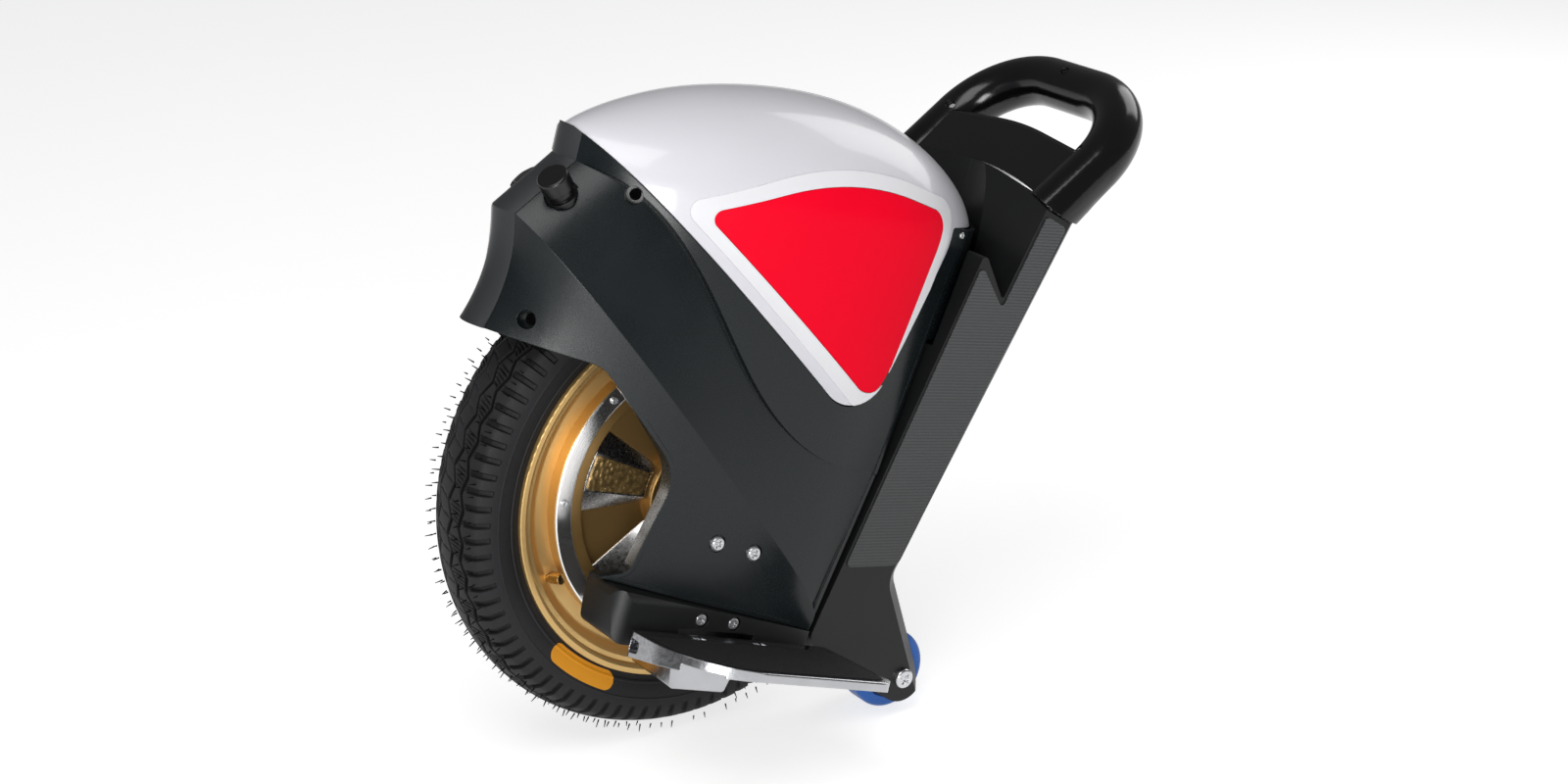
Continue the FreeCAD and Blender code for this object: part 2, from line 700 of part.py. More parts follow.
def column_way(lean=COLUMN_LEAN):
    """Directions up along the column and rearward across it."""
    turn = math.radians(lean)
    return V(math.sin(turn), 0, math.cos(turn)), V(math.cos(turn), 0, -math.sin(turn))


def column_point(up, y):
    """Point on a handle tube's line: up is measured from the column's top edge."""
    rise, _ = column_way()
    return V(COLUMN_TOP[0], y, COLUMN_TOP[1]) + rise * up


def top_drum(extra):
    """Large drum whose rim gives the arched seam between the column and the handle."""
    rise, rear = column_way()
    radius = (COLUMN_HALF ** 2 + SEAM_RISE ** 2) / (2.0 * SEAM_RISE)
    centre = V(COLUMN_TOP[0], 0, COLUMN_TOP[1]) + rise * (SEAM_RISE - radius)
    drum = Part.makeCylinder(radius + extra, 700, centre - rear * 350, rear)
    drum.rotate(centre, rear, 180)
    return drum


def egg_rear(extra, z0, z1):
    """Plan egg behind the widest place, grown by extra, as an upright block."""
    stretch = FreeCAD.Matrix(PLAN_REAR + extra, 0, 0, PLAN_X, 0, BODY_HALF + extra, 0, 0, 0, 0, 1, z0, 0, 0, 0, 1)
    round_edge = Part.Arc(V(0, -1, 0), V(1, 0, 0), V(0, 1, 0)).toShape().transformGeometry(stretch)
    half = BODY_HALF + extra
    edges = [
        round_edge, Part.makeLine(V(PLAN_X, half, z0), V(-20, half, z0)),
        Part.makeLine(V(-20, half, z0), V(-20, -half, z0)), Part.makeLine(V(-20, -half, z0), V(PLAN_X, -half, z0)),
    ]
    return Part.Face(Part.Wire(edges)).extrude(V(0, 0, z1 - z0))


COLLAR_Z = 150.0


def column_profile():
    """Side view of the column: front edge along the shell, notch, raised top, kinked rear edge and foot."""
    rise, rear = column_way()
    top = V(COLUMN_TOP[0], 0, COLUMN_TOP[1]) + rise * 30.0
    front_top = top - rear * 20.0
    rear_top = top + rear * 18.5
    foot_way = V(ROLLER_X, 0, ROLLER_Z)
    return [
        (gap_x(-74.0) + COLUMN_GAP, -74.0, 6.0), (gap_x(222.0) + COLUMN_GAP, 222.0, 3.0), (166.0, 190.0, 2.0),
        (front_top.x, front_top.z), (rear_top.x, rear_top.z), (149.0, -25.0, 12.0),
        (foot_way.x + 16.5, foot_way.z + 9.5), (foot_way.x - 6, foot_way.z - 18.1), (96.0, -93.0, 10.0),
    ]


def make_column():
    """Left half of the column, with its wheel slot, roller fork and tube bore."""
    rise, rear = column_way()
    raw = slab(column_profile(), -COLUMN_HALF, 0)
    foot = rod(19.0, V(ROLLER_X, -COLUMN_HALF, ROLLER_Z), V(ROLLER_X, -40, ROLLER_Z))
    raw = raw.fuse(foot).removeSplitter()
    bevel = 11.0
    edges = [
        e for e in raw.Edges
        if abs(e.CenterOfMass.y + COLUMN_HALF) < 0.01 and e.Length > 200 and e.CenterOfMass.x > 160
    ]
    raw = raw.makeChamfer(bevel, edges)
    raw = raw.common(top_drum(0.0))
    raw = raw.cut(egg_rear(5.0, COLLAR_Z - 3, 400))
    raw = raw.cut(rod(TYRE_R + 17, V(0, -48, 0), V(0, 48, 0)))
    raw = raw.cut(box(0, 300, -48, 48, -300, 60))
    raw = raw.cut(rod(ROLLER_R + 3, V(ROLLER_X, -ROLLER_Y - 14, ROLLER_Z), V(ROLLER_X, 14 - ROLLER_Y, ROLLER_Z)))
    well = slab([(ROLLER_X - 45, ROLLER_Z - 60), (ROLLER_X + 60, ROLLER_Z - 60), (ROLLER_X + 60, ROLLER_Z + 20),
                 (ROLLER_X, ROLLER_Z + 20), (ROLLER_X - 33, ROLLER_Z)], -ROLLER_Y - 14, 14 - ROLLER_Y)
    raw = raw.cut(well)
    raw = raw.cut(rod(4.0 + FIT, V(ROLLER_X, -150, ROLLER_Z), V(ROLLER_X, 0, ROLLER_Z)))
    hollow = slab([(gap_x(-20) + 10, -20, 5), (gap_x(138) + 10, 138, 5), (175, 138, 5), (143, -6, 5)], -97, -54)
    sleeve = rod(TUBE_R + 6.0, column_point(-400, -HANDLE_HALF), column_point(20, -HANDLE_HALF))
    raw = raw.cut(hollow.cut(sleeve))
    bore = rod(TUBE_R + 2.5, column_point(-TUBE_LENGTH - 12, -HANDLE_HALF), column_point(60, -HANDLE_HALF))
    return raw.cut(bore)


def make_column_panel():
    """Thin textured plate on the column's outer face."""
    rise, rear = column_way()
    top = V(COLUMN_TOP[0], 0, COLUMN_TOP[1]) - rise * 4.0
    front = top - rear * 16.0
    back = top + rear * 5.5
    corners = [
        (gap_x(-20) + COLUMN_GAP + 2, -20, 4), (gap_x(212) + COLUMN_GAP + 2, 212, 3), (167.0, 184.0, 3),
        (front.x, front.z, 3), (back.x, back.z, 4), (141.0, -14.0, 8),
    ]
    return slab(corners, -COLUMN_HALF - 1.0, -COLUMN_HALF)


def make_collar():
    """Slim wall that closes the body behind the dome, between the two shells."""
    wall = egg_rear(0.0, COLLAR_Z, FLAP_REAR[1] - SEAM).cut(egg_rear(-WALL, COLLAR_Z - 1, 400))
    front = slab([(gap_x(0) + 0.8, 0), (gap_x(400) + 0.8, 400), (-400, 400), (-400, 0)], -200, 200)
    return wall.cut(front)


def make_guide():
    top = column_point(-4, -HANDLE_HALF)
    low = column_point(-TUBE_LENGTH - 6, -HANDLE_HALF)
    return tube(TUBE_R + 2.4, TUBE_R + 0.1, low, top)


# Telescopic handle

def handle_point(up, y, back):
    rise, rear = column_way(HANDLE_LEAN)
    return V(COLUMN_TOP[0], y, COLUMN_TOP[1]) + rise * up + rear * back


def oval(centre, half, deep, across):
    """Oval section of the handle: half its size across, and the deeper half fore-and-aft."""
    rise, rear = column_way(HANDLE_LEAN)
    curve = Part.Ellipse(centre + rear * deep, centre + across * half, centre)
    return Part.Wire([curve.toShape()])


def make_handle():
    rise, rear = column_way(HANDLE_LEAN)
    straight = HANDLE_RISE - HANDLE_BEND
    pieces = []
    for sign in (-1, 1):
        y = sign * HANDLE_HALF
        wires = [
            oval(handle_point(-30, y, 0), GRIP_R, LEG_DEEP, Y_AXIS),
            oval(handle_point(straight, y, 0), GRIP_R, GRIP_DEEP, Y_AXIS),
        ]
        pieces.append(Part.makeLoft(wires, True, True))
        disc = Part.Face(wires[-1])
        pivot = handle_point(straight, sign * (HANDLE_HALF - HANDLE_BEND), 0)
        pieces.append(disc.revolve(pivot, rear, 90 * sign))
    span = HANDLE_HALF - HANDLE_BEND
    end = oval(handle_point(HANDLE_RISE, -span, 0), GRIP_R, GRIP_DEEP, rise)
    pieces.append(Part.Face(end).extrude(V(0, 2 * span, 0)))

    def web_place(p):
        return handle_point(p.y, p.x, -GRIP_R + 3.0)

    web_corners = [
        (-HANDLE_HALF, -40.0), (HANDLE_HALF, -40.0), (HANDLE_HALF, WEB_TOP - 7), (0, WEB_TOP + 3, 220.0),
        (-HANDLE_HALF, WEB_TOP - 7),
    ]
    web = Part.Face(outline(web_corners, web_place)).extrude(rear * (GRIP_R * 2 - 6))
    crest = [e for e in web.Edges if (e.CenterOfMass - handle_point(WEB_TOP - 8, 0, 0)).dot(rise) > 0
             and abs(e.CenterOfMass.y) < 80 and e.Length > 40]
    web = web.makeFillet(6.0, crest)
    body = pieces[0].fuse(pieces[1:] + [web]).removeSplitter()
    body = body.cut(top_drum(HANDLE_GAP))
    for sign in (-1, 1):
        body = body.cut(rod(TUBE_R, column_point(-40, sign * HANDLE_HALF), column_point(22, sign * HANDLE_HALF)))
    return body


def make_handle_halves(body):
    """Front and rear mouldings, parted along the handle's middle plane, and their screws."""
    rise, rear = column_way(HANDLE_LEAN)
    base = handle_point(-120, -200, 0)
    cutter = Part.Face(outline([(0, 0), (400, 0), (400, 400), (0, 400)],
                               lambda p: base + Y_AXIS * p.x + rise * p.y))
    front_block = cutter.extrude(rear * -100)
    front = body.common(front_block)
    back = body.cut(front_block)
    screws = []
    leg = HANDLE_RISE - HANDLE_BEND
    for up, y in ((HANDLE_RISE, 0.0), (leg, HANDLE_HALF - 7.0), (leg, 7.0 - HANDLE_HALF)):
        seat = handle_point(up, y, 5.0 - GRIP_R)
        front = front.cut(rod(3.6, seat, seat - rear * 40))
        screws.append(pan_screw(3.0, 2.0, 1.4, 1.0, seat, rear * -1))
        front = front.cut(rod(1.4, seat + rear * 1.0, seat))
    return front, back, group(screws)


# Rollers

def make_roller():
    half = ROLLER_WIDTH / 2.0
    profile = [
        (11.0, -half + 2), (17.0, -half + 2), (18.0, -half + 3.5), (20.0, -half + 3.5), (21.0, -half, 1.0),
        (ROLLER_R, -half, 5.0), (ROLLER_R, half, 5.0), (21.0, half, 1.0), (20.0, half - 3.5), (18.0, half - 3.5),
        (17.0, half - 2), (11.0, half - 2),
    ]
    roller = spun(profile)
    bearing = tube(11.0 - FIT, 4.0, V(0, -half + 1, 0), V(0, half - 1, 0))
    where = V(ROLLER_X, -ROLLER_Y, ROLLER_Z)
    for shape in (roller, bearing):
        shape.translate(where)
    outer = V(ROLLER_X, -COLUMN_HALF, ROLLER_Z)
    bolt = pan_screw(7.5, 4.0, 4.0, COLUMN_HALF - 43.0, outer, V(0, -1, 0))
    nut = tube(7.0, 4.0, V(ROLLER_X, -48.0, ROLLER_Z), V(ROLLER_X, -43.5, ROLLER_Z))
    return roller, bearing, bolt, nut


# Frame, hangers and pedals

def make_fork(posts):
    outer = -FORK_Y - FORK_THICK
    leg = slab([
        (-FORK_HALF, FORK_HALF, FORK_HALF - 0.5), (FORK_HALF, FORK_HALF, FORK_HALF - 0.5),
        (FORK_HALF, HANGER_BOTTOM - 0.2, 4), (-FORK_HALF, HANGER_BOTTOM - 0.2, 4),
    ], outer, -FORK_Y)
    leg = leg.cut(rod(AXLE_R, V(0, -90, 0), V(0, 0, 0)))
    for (x, z), end in zip(FRAME_SCREWS, posts):
        post = rod(6.0, V(x, outer, z), V(x, end, z))
        leg = leg.fuse(post).cut(rod(2.5, V(x, -150, z), V(x, 0, z)))
    for x, z in HANGER_SCREWS:
        leg = leg.cut(rod(2.5, V(x, -150, z), V(x, 0, z)))
    return leg.removeSplitter()


def make_hanger():
    x0, x1 = HANGER_X
    outer = -COLUMN_HALF
    inner = -FORK_Y - FORK_THICK - 0.5
    body = slab([
        (x0, HANGER_TOP[0], 6), (x1, HANGER_TOP[1]), (x1 - 2, HANGER_BOTTOM, 4), (x0 + 7, HANGER_BOTTOM, 8),
    ], outer, inner)
    shoulder = bar([
        (outer, HANGER_BOTTOM - 10), (outer, HANGER_TOP[0] - 6, 12), (outer + 6, HANGER_TOP[0] + 10),
        (inner, HANGER_TOP[0] + 10), (inner, HANGER_BOTTOM - 10),
    ], x0 - 5, x1 + 5)
    nose = plate([
        (x0, outer, 16), (x1 + 1, outer), (x1 + 1, inner), (x0, inner, 8),
    ], -150, 0)
    body = body.common(shoulder).common(nose)
    reach = KNUCKLE_HALF + EAR + 2.0
    body = body.cut(box(-reach, reach, outer - 20, outer + 18, -150, HINGE[1] + KNUCKLE_R + 1.5))
    screws = []
    for x, z in HANGER_SCREWS:
        body = body.cut(rod(5.2, V(x, outer - 5, z), V(x, outer + HEAD_SINK, z)))
        body = body.cut(rod(2.6, V(x, outer - 5, z), V(x, 0, z)))
        reach_in = COLUMN_HALF - HEAD_SINK - FORK_Y - 3
        screws.append(pan_screw(4.5, 3.0, 2.5, reach_in, V(x, outer + HEAD_SINK, z), V(0, -1, 0)))
    return body, screws


def make_bracket():
    """Cast block under the hanger with two ears that hold the pedal's hinge pin."""
    top = HANGER_BOTTOM - 0.3
    half = KNUCKLE_HALF + EAR + 0.3
    block = slab([
        (-half, top), (half, top), (half - 7, BRACKET_BOTTOM, 3), (7 - half, BRACKET_BOTTOM, 3),
    ], -COLUMN_HALF + 4, -FORK_Y)
    pieces = [block]
    for x in (KNUCKLE_HALF + 0.3, -half):
        lug = bar([
            (HINGE[0] - 5, HINGE[1] - 5), (HINGE[0] + 2, HINGE[1] + KNUCKLE_R - 0.5), (HINGE[0] + 12, HINGE[1] - 2),
            (HINGE[0] + 18, top), (HINGE[0] + 18, top - 8), (HINGE[0] + 8, top - 8),
        ], x, x + EAR)
        eye = rod(KNUCKLE_R, V(x, HINGE[0], HINGE[1]), V(x + EAR, HINGE[0], HINGE[1]))
        pieces += [lug, eye]
    bracket = joined(pieces)
    return bracket.cut(rod(PIN_R, V(-60, HINGE[0], HINGE[1]), V(60, HINGE[0], HINGE[1])))


def make_pin():
    reach = KNUCKLE_HALF + EAR + 0.3
    return rod(PIN_R, V(-reach, HINGE[0], HINGE[1]), V(reach, HINGE[0], HINGE[1]))


def tilted(shape):
    """Turns a level pedal piece up a little about its hinge."""
    shape.rotate(V(0, HINGE[0], HINGE[1]), X_AXIS, -PEDAL_TILT)
    return shape


def make_pedal():
    x0, x1 = PEDAL_X
    inner = HINGE[0] - 1.0
    outer = inner - PEDAL_REACH
    top = HINGE[1] + PEDAL_RISE
    low = PAD_DEPTH + 4.0
    body = bar([(inner, top), (outer, top, 1.5), (outer, top - PEDAL_THICK[1], 3), (inner, top - PEDAL_THICK[0], 2)],
               x0, x1)
    body = body.common(plate([(x0, inner, 5), (x1, inner, 5), (x1, outer, 11), (x0, outer, PEDAL_SWEEP)], -200, 0))
    ear = KNUCKLE_HALF + EAR + 1.2
    relief = KNUCKLE_HALF - 0.3
    for x in (relief, -ear):
        body = body.cut(box(x, x + ear - relief, inner - 11, inner + 5, -200, 0))
    knuckle = joined([
        rod(KNUCKLE_R, V(-relief, HINGE[0], HINGE[1]), V(relief, HINGE[0], HINGE[1])),
        bar([(HINGE[0], HINGE[1] + KNUCKLE_R), (inner - 12, top), (inner - 12, top - 10), (HINGE[0], HINGE[1] - KNUCKLE_R)],
            -relief, relief),
    ])
    body = body.fuse(knuckle).removeSplitter()
    body = body.cut(rod(PIN_R + FIT, V(-60, HINGE[0], HINGE[1]), V(60, HINGE[0], HINGE[1])))
    # Hollow front end of the hinge beam.
    hollow = [(inner - 3, top - 4, 2), (inner - 3, top - PEDAL_THICK[0] + 3.5, 2),
              (inner - 14, top - PEDAL_THICK[0] + 5, 3), (inner - 14, top - 5, 3)]
    body = body.cut(bar(hollow, x0 - 5, x0 + 9))
    # Grip recess on top, and cast pockets with ribs between them underneath.
    i = PAD_INSET
    back = inner - 15.0
    recess = [(x0 + i, back, 4), (x1 - i, back, 4), (x1 - i, outer + i, 8), (x0 + i, outer + i, PEDAL_SWEEP - i)]
    body = body.cut(plate(recess, top - PAD_DEPTH, top + 20))
    pad_wire = outline(recess, plan(top - PAD_DEPTH)).makeOffset2D(-0.3)
    pad = Part.Face(pad_wire).extrude(V(0, 0, PAD_DEPTH + 0.6))
    cells = 4
    pitch = (x1 - x0 - 2 * i) / cells
    for k in range(cells):
        a = x0 + i + k * pitch + 2.5
        b = a + pitch - 5.0
        pocket = plate([(a, back - 2, 4), (b, back - 2, 4), (b, outer + i + 3, 4), (a, outer + i + 3, 4)], -200, top - low)
        body = body.cut(pocket)
    return tilted(body), tilted(pad)


# Inside the body: mudguard, batteries, control board and motor lead

def make_mudguard():
    outer = TYRE_R + 12.0
    wall = 2.5
    half = TYRE_WIDTH / 2.0 + 10.0
    skirt = TYRE_R - 16.0
    profile = [
        (skirt, half), (outer, half), (outer, -half), (skirt, -half), (skirt, wall - half),
        (outer - wall, wall - half), (outer - wall, half - wall), (skirt, half - wall),
    ]
    face = Part.Face(outline(profile, lambda p: V(0, p.y, p.x)))
    face.rotate(ORIGIN, Y_AXIS, -49)
    return face.revolve(ORIGIN, Y_AXIS, 49 + 44)


def make_battery():
    pack = soft_box(-38, 72, -77, -FORK_Y - 1, 36, 168, 8)
    return pack


def make_board():
    base = TYRE_R + 24.0
    board = box(-35, 85, -44, 44, base, base + 3)
    sink = box(-25, 75, -36, 36, base + 3, base + 8)
    fins = [box(-25 + 10 * k, -22 + 10 * k, -36, 36, base + 8, base + 24) for k in range(11)]
    return board, joined([sink] + fins)


def make_lead():
    path = [V(0, -AXLE_REACH, 0), V(0, -AXLE_REACH - 10, 0), V(-54, -72, 34), V(-54, -66, 190), V(-44, -56, 212),
            V(-36, -44.2, 206.5)]
    pieces = [rod(3.0, path[k], path[k + 1]) for k in range(len(path) - 1)]
    pieces += [Part.makeSphere(3.0, point) for point in path[1:-1]]
    return joined(pieces)


# Charge port with its cap, and the power button on the other side

def make_controls(spot):
    axis = V(*CONTROL_AXIS).normalize()
    socket = joined([
        tube(PORT_R + 1.7, PORT_R, spot - axis * 22, spot + axis * CAP_BASE),
        tube(PORT_R + 4.0, PORT_R, spot + axis * 0.3, spot + axis * 2.5),
        rod(PORT_R + 1.7, spot - axis * 24, spot - axis * 22),
    ])
    head = rod(CAP_R, spot + axis * (CAP_BASE + 0.3), spot + axis * CAP_HEIGHT)
    rim = [e for e in head.Edges if (e.CenterOfMass - spot).dot(axis) > CAP_HEIGHT - 1]
    head = head.makeFillet(2.0, rim[:1])
    cap = joined([head, rod(PORT_R - 0.3, spot - axis * 2, spot + axis * (CAP_BASE + 1))])
    spot = V(spot.x, -spot.y, spot.z)
    axis = V(axis.x, -axis.y, axis.z)
    bezel = joined([
        tube(PORT_R + 1.7, BUTTON_R, spot - axis * 12, spot + axis * 0.3),
        tube(PORT_R + 4.0, BUTTON_R, spot + axis * 0.3, spot + axis * 1.8),
        rod(PORT_R + 1.7, spot - axis * 14, spot - axis * 12),
    ])
    proud = BUTTON_TRAVEL + 1.2
    press = rod(BUTTON_R - 0.3, spot - axis * 8, spot + axis * proud)
    rim = [e for e in press.Edges if (e.CenterOfMass - spot).dot(axis) > proud - 0.5]
    press = press.makeFillet(0.8, rim[:1])
    return socket, cap, bezel, press


# Putting the machine together

parts["tyre"] = make_tyre()
parts["inner_tube"] = make_inner_tube()
parts["rim"] = make_rim()
parts["valve"] = make_valve()
pair("motor_cover", make_cover())
spokes, pads = make_spokes()
both("cover_spokes", *spokes)
both("spoke_pads", *pads)
both("trim_rings", make_trim_ring())
both("ring_screws", *make_ring_screws())
parts["magnets"] = make_magnets()
parts["stator"], parts["windings"], parts["stator_hub"] = make_stator()
parts["axle"], parts["axle_nuts"] = make_axle()
both("bearings", make_bearing())

parts["dome_cover"], red = make_dome()
pair("dome_panel", red)
parts["front_mask"] = make_mask()
shell, shell_screws, shell_posts, control_seat = make_side_shell()
pair("side_shell", shell)

pair("column", make_column())
pair("column_panel", make_column_panel())
parts["collar"] = make_collar()
both("guide_tubes", make_guide())
parts["handle_front"], parts["handle_rear"], parts["handle_screws"] = make_handle_halves(make_handle())
both("handle_tubes", rod(TUBE_R, column_point(-TUBE_LENGTH, -HANDLE_HALF), column_point(22, -HANDLE_HALF)))

roller, roller_bearing, roller_bolt, roller_nut = make_roller()
pair("roller", roller)
both("roller_bearings", roller_bearing)
both("roller_bolts", roller_bolt, roller_nut)

pair("fork_leg", make_fork(shell_posts))
hanger, hanger_screws = make_hanger()
pair("hanger", hanger)
both("frame_screws", *shell_screws, *hanger_screws)
pair("pedal_bracket", make_bracket())
both("pedal_pins", make_pin())
pedal, pad = make_pedal()
pair("pedal", pedal)
pair("pedal_pad", pad)

parts["mudguard"] = make_mudguard()
pair("battery", make_battery())
parts["control_board"], parts["heat_sink"] = make_board()
parts["motor_lead"] = make_lead()
parts["charge_socket"], parts["charge_cap"], parts["button_bezel"], parts["power_button"] = make_controls(control_seat)

# Lean back onto the rollers, then set the origin under the middle of the outer box.

whole = FreeCAD.BoundBox()
for shape in parts.values():
    shape.rotate(ORIGIN, Y_AXIS, LEAN)
    whole.add(shape.optimalBoundingBox(False))
SHIFT = V(-whole.Center.x, -whole.Center.y, -whole.ZMin)
for name, shape in parts.items():
    shape.translate(SHIFT)
    shape.exportStep("parts/" + name + ".step")
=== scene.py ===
"""Looks of a self-balancing electric unicycle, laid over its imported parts."""

import math

import bmesh
import bpy
from bpy.props import FloatProperty, FloatVectorProperty, IntProperty, PointerProperty
from mathutils import Matrix, Vector


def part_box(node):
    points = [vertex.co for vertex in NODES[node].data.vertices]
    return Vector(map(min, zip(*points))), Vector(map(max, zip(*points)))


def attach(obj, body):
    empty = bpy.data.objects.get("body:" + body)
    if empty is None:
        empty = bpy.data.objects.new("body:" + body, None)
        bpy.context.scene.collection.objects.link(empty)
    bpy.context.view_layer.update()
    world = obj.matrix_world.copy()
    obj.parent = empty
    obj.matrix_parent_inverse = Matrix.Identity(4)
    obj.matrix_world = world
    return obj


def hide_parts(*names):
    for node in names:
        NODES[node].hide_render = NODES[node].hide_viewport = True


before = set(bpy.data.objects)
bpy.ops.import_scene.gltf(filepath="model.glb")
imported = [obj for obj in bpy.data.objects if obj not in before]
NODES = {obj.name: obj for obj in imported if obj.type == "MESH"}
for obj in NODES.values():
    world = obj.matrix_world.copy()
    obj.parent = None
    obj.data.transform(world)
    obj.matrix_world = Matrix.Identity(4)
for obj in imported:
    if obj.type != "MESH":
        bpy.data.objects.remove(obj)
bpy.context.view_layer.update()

bl_info = {
    "name": "Electric Unicycle Looks",
    "version": (1, 0, 0),
    "blender": (4, 5, 0),
    "location": "3D View > Sidebar > Unicycle",
    "description": "Gives the packed electric unicycle its materials, small details and studio",
    "category": "Object",
}

LEAN = math.radians(19.0)
# Places of the riding pose, in millimetres from the wheel centre: screw holes of the shells and how far their
# dark faces reach, corners of the dome's borders with their radii, and the strip screw with its outward way.
SHELL_HOLES = ((-126.0, 204.0), (-173.0, 106.0))
HOLE_REACH = 16.0
BORDER = ((-104.0, 207.0, 9.0), (12.0, 265.0, 190.0), (115.0, 249.0, 14.0), (88.0, 79.0, 22.0))
STRIP_SCREW = ((130.3, -81.4, 227.3), (0.31, -0.95, 0.04))


# Settings


def colour(name, description, default):
    return FloatVectorProperty(
        name=name, description=description, subtype="COLOR", size=3, min=0.0, max=1.0, default=default
    )


class UnicycleColours(bpy.types.PropertyGroup):
    """Base colours of the machine, as linear light"""

    shell: colour("Shell", "Satin black of the side shells", (0.0062, 0.0092, 0.0104))
    mask: colour("Mask", "Dark grey of the nose strip", (0.030, 0.032, 0.034))
    column: colour("Column", "Black of the rear column", (0.0075, 0.008, 0.0085))
    weave: colour("Weave", "Lit threads of the column panels", (0.105, 0.112, 0.118))
    dome: colour("Dome", "Cool white of the dome", (0.75, 0.745, 0.79))
    # Painted highlight: brighter white on the dome's band round the inset panels.
    border_highlight: colour("Border", "Brighter white round the inset panels", (0.88, 0.88, 0.91))
    panel: colour("Panel", "Red of the inset panels", (0.98, 0.001, 0.022))
    handle: colour("Handle", "Black of the handle", (0.0030, 0.0030, 0.0036))
    gold: colour("Gold", "Gold paint of the rim", (0.68, 0.45, 0.175))
    bronze: colour("Bronze", "Deep gold of the motor covers", (0.52, 0.315, 0.11))
    chrome: colour("Chrome", "Polished trim rings and spokes", (0.86, 0.85, 0.84))
    cast: colour("Cast metal", "Cast aluminium of the pedals", (0.45, 0.455, 0.47))
    steel: colour("Steel", "Zinc plated screws and shafts", (0.60, 0.605, 0.62))
    rubber: colour("Rubber", "Black tyre rubber", (0.0085, 0.0085, 0.0095))
    sticker: colour("Sticker", "Blank patch on the tyre wall", (0.72, 0.29, 0.012))
    roller: colour("Roller", "Blue of the parking rollers", (0.012, 0.105, 0.42))
    copper: colour("Copper", "Winding wire", (0.70, 0.26, 0.10))
    board: colour("Board", "Lacquer of the control board", (0.01, 0.10, 0.03))


class UnicycleSizes(bpy.types.PropertyGroup):
    """Sizes of the surface detail"""

    grain: FloatProperty(
        name="Moulded grain", description="Size of the grain on moulded plastic", unit="LENGTH",
        min=0.0001, default=0.0008, precision=5,
    )
    edge: FloatProperty(
        name="Edge softness", description="Radius that softens hard edges in shading", unit="LENGTH",
        min=0.0, default=0.0007, precision=5,
    )
    weave: FloatProperty(
        name="Weave pitch", description="Width of one thread of the column panels", unit="LENGTH",
        min=0.0003, default=0.0008, precision=5,
    )
    hammer: FloatProperty(
        name="Hammer marks", description="Size of the dimples on the spoke pads", unit="LENGTH",
        min=0.0005, default=0.0036, precision=5,
    )
    grit: FloatProperty(
        name="Grit", description="Size of the grit on the pedal grips", unit="LENGTH",
        min=0.0001, default=0.0007, precision=5,
    )
    hair: FloatProperty(
        name="Vent hair", description="Length of the moulding hairs on the tyre", unit="LENGTH",
        min=0.0, default=0.0058, precision=5,
    )
    hairs: IntProperty(name="Vent hair rows", description="Rows of hairs round the tyre", min=0, default=120)


class UnicycleStage(bpy.types.PropertyGroup):
    """Camera and light"""

    azimuth: FloatProperty(
        name="Azimuth", description="Camera direction about the upright axis", subtype="ANGLE",
        default=math.radians(-33.37),
    )
    elevation: FloatProperty(
        name="Elevation", description="Camera height angle", subtype="ANGLE", default=math.radians(20.2)
    )
    distance: FloatProperty(
        name="Distance", description="Camera distance from its target", unit="LENGTH", default=2.0
    )
    lens: FloatProperty(name="Lens", description="Focal length in millimetres", default=62.59)
    target: FloatVectorProperty(
        name="Target", description="Where the camera looks, from the wheel centre", subtype="TRANSLATION",
        size=3, default=(0.0989, 0.0, 0.0486),
    )
    key: FloatProperty(name="Key light", description="Power of the top light", unit="POWER", default=24.0)
    fill: FloatProperty(name="Fill light", description="Power of the front light", unit="POWER", default=37.0)
    rear: FloatProperty(name="Rear light", description="Power of the rear light", unit="POWER", default=14.0)
    world: FloatProperty(name="World", description="Strength of the even surroundings", default=0.16)
    floor: colour("Floor", "Pale floor", (0.62, 0.62, 0.625))
    glow: FloatProperty(
        name="Floor glow", description="White that the floor adds to what is seen of it", default=0.70
    )


def wheel_centre():
    """Middle of the rim, on the axle."""
    low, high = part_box("rim")
    return (low + high) / 2


def placed(x, y, z):
    """Point of the riding pose, in millimetres from the wheel centre, as it stands on the rollers."""
    turn = Matrix.Rotation(LEAN, 3, "Y")
    return wheel_centre() + turn @ Vector((x, y, z)) / 1000.0


# Node wiring


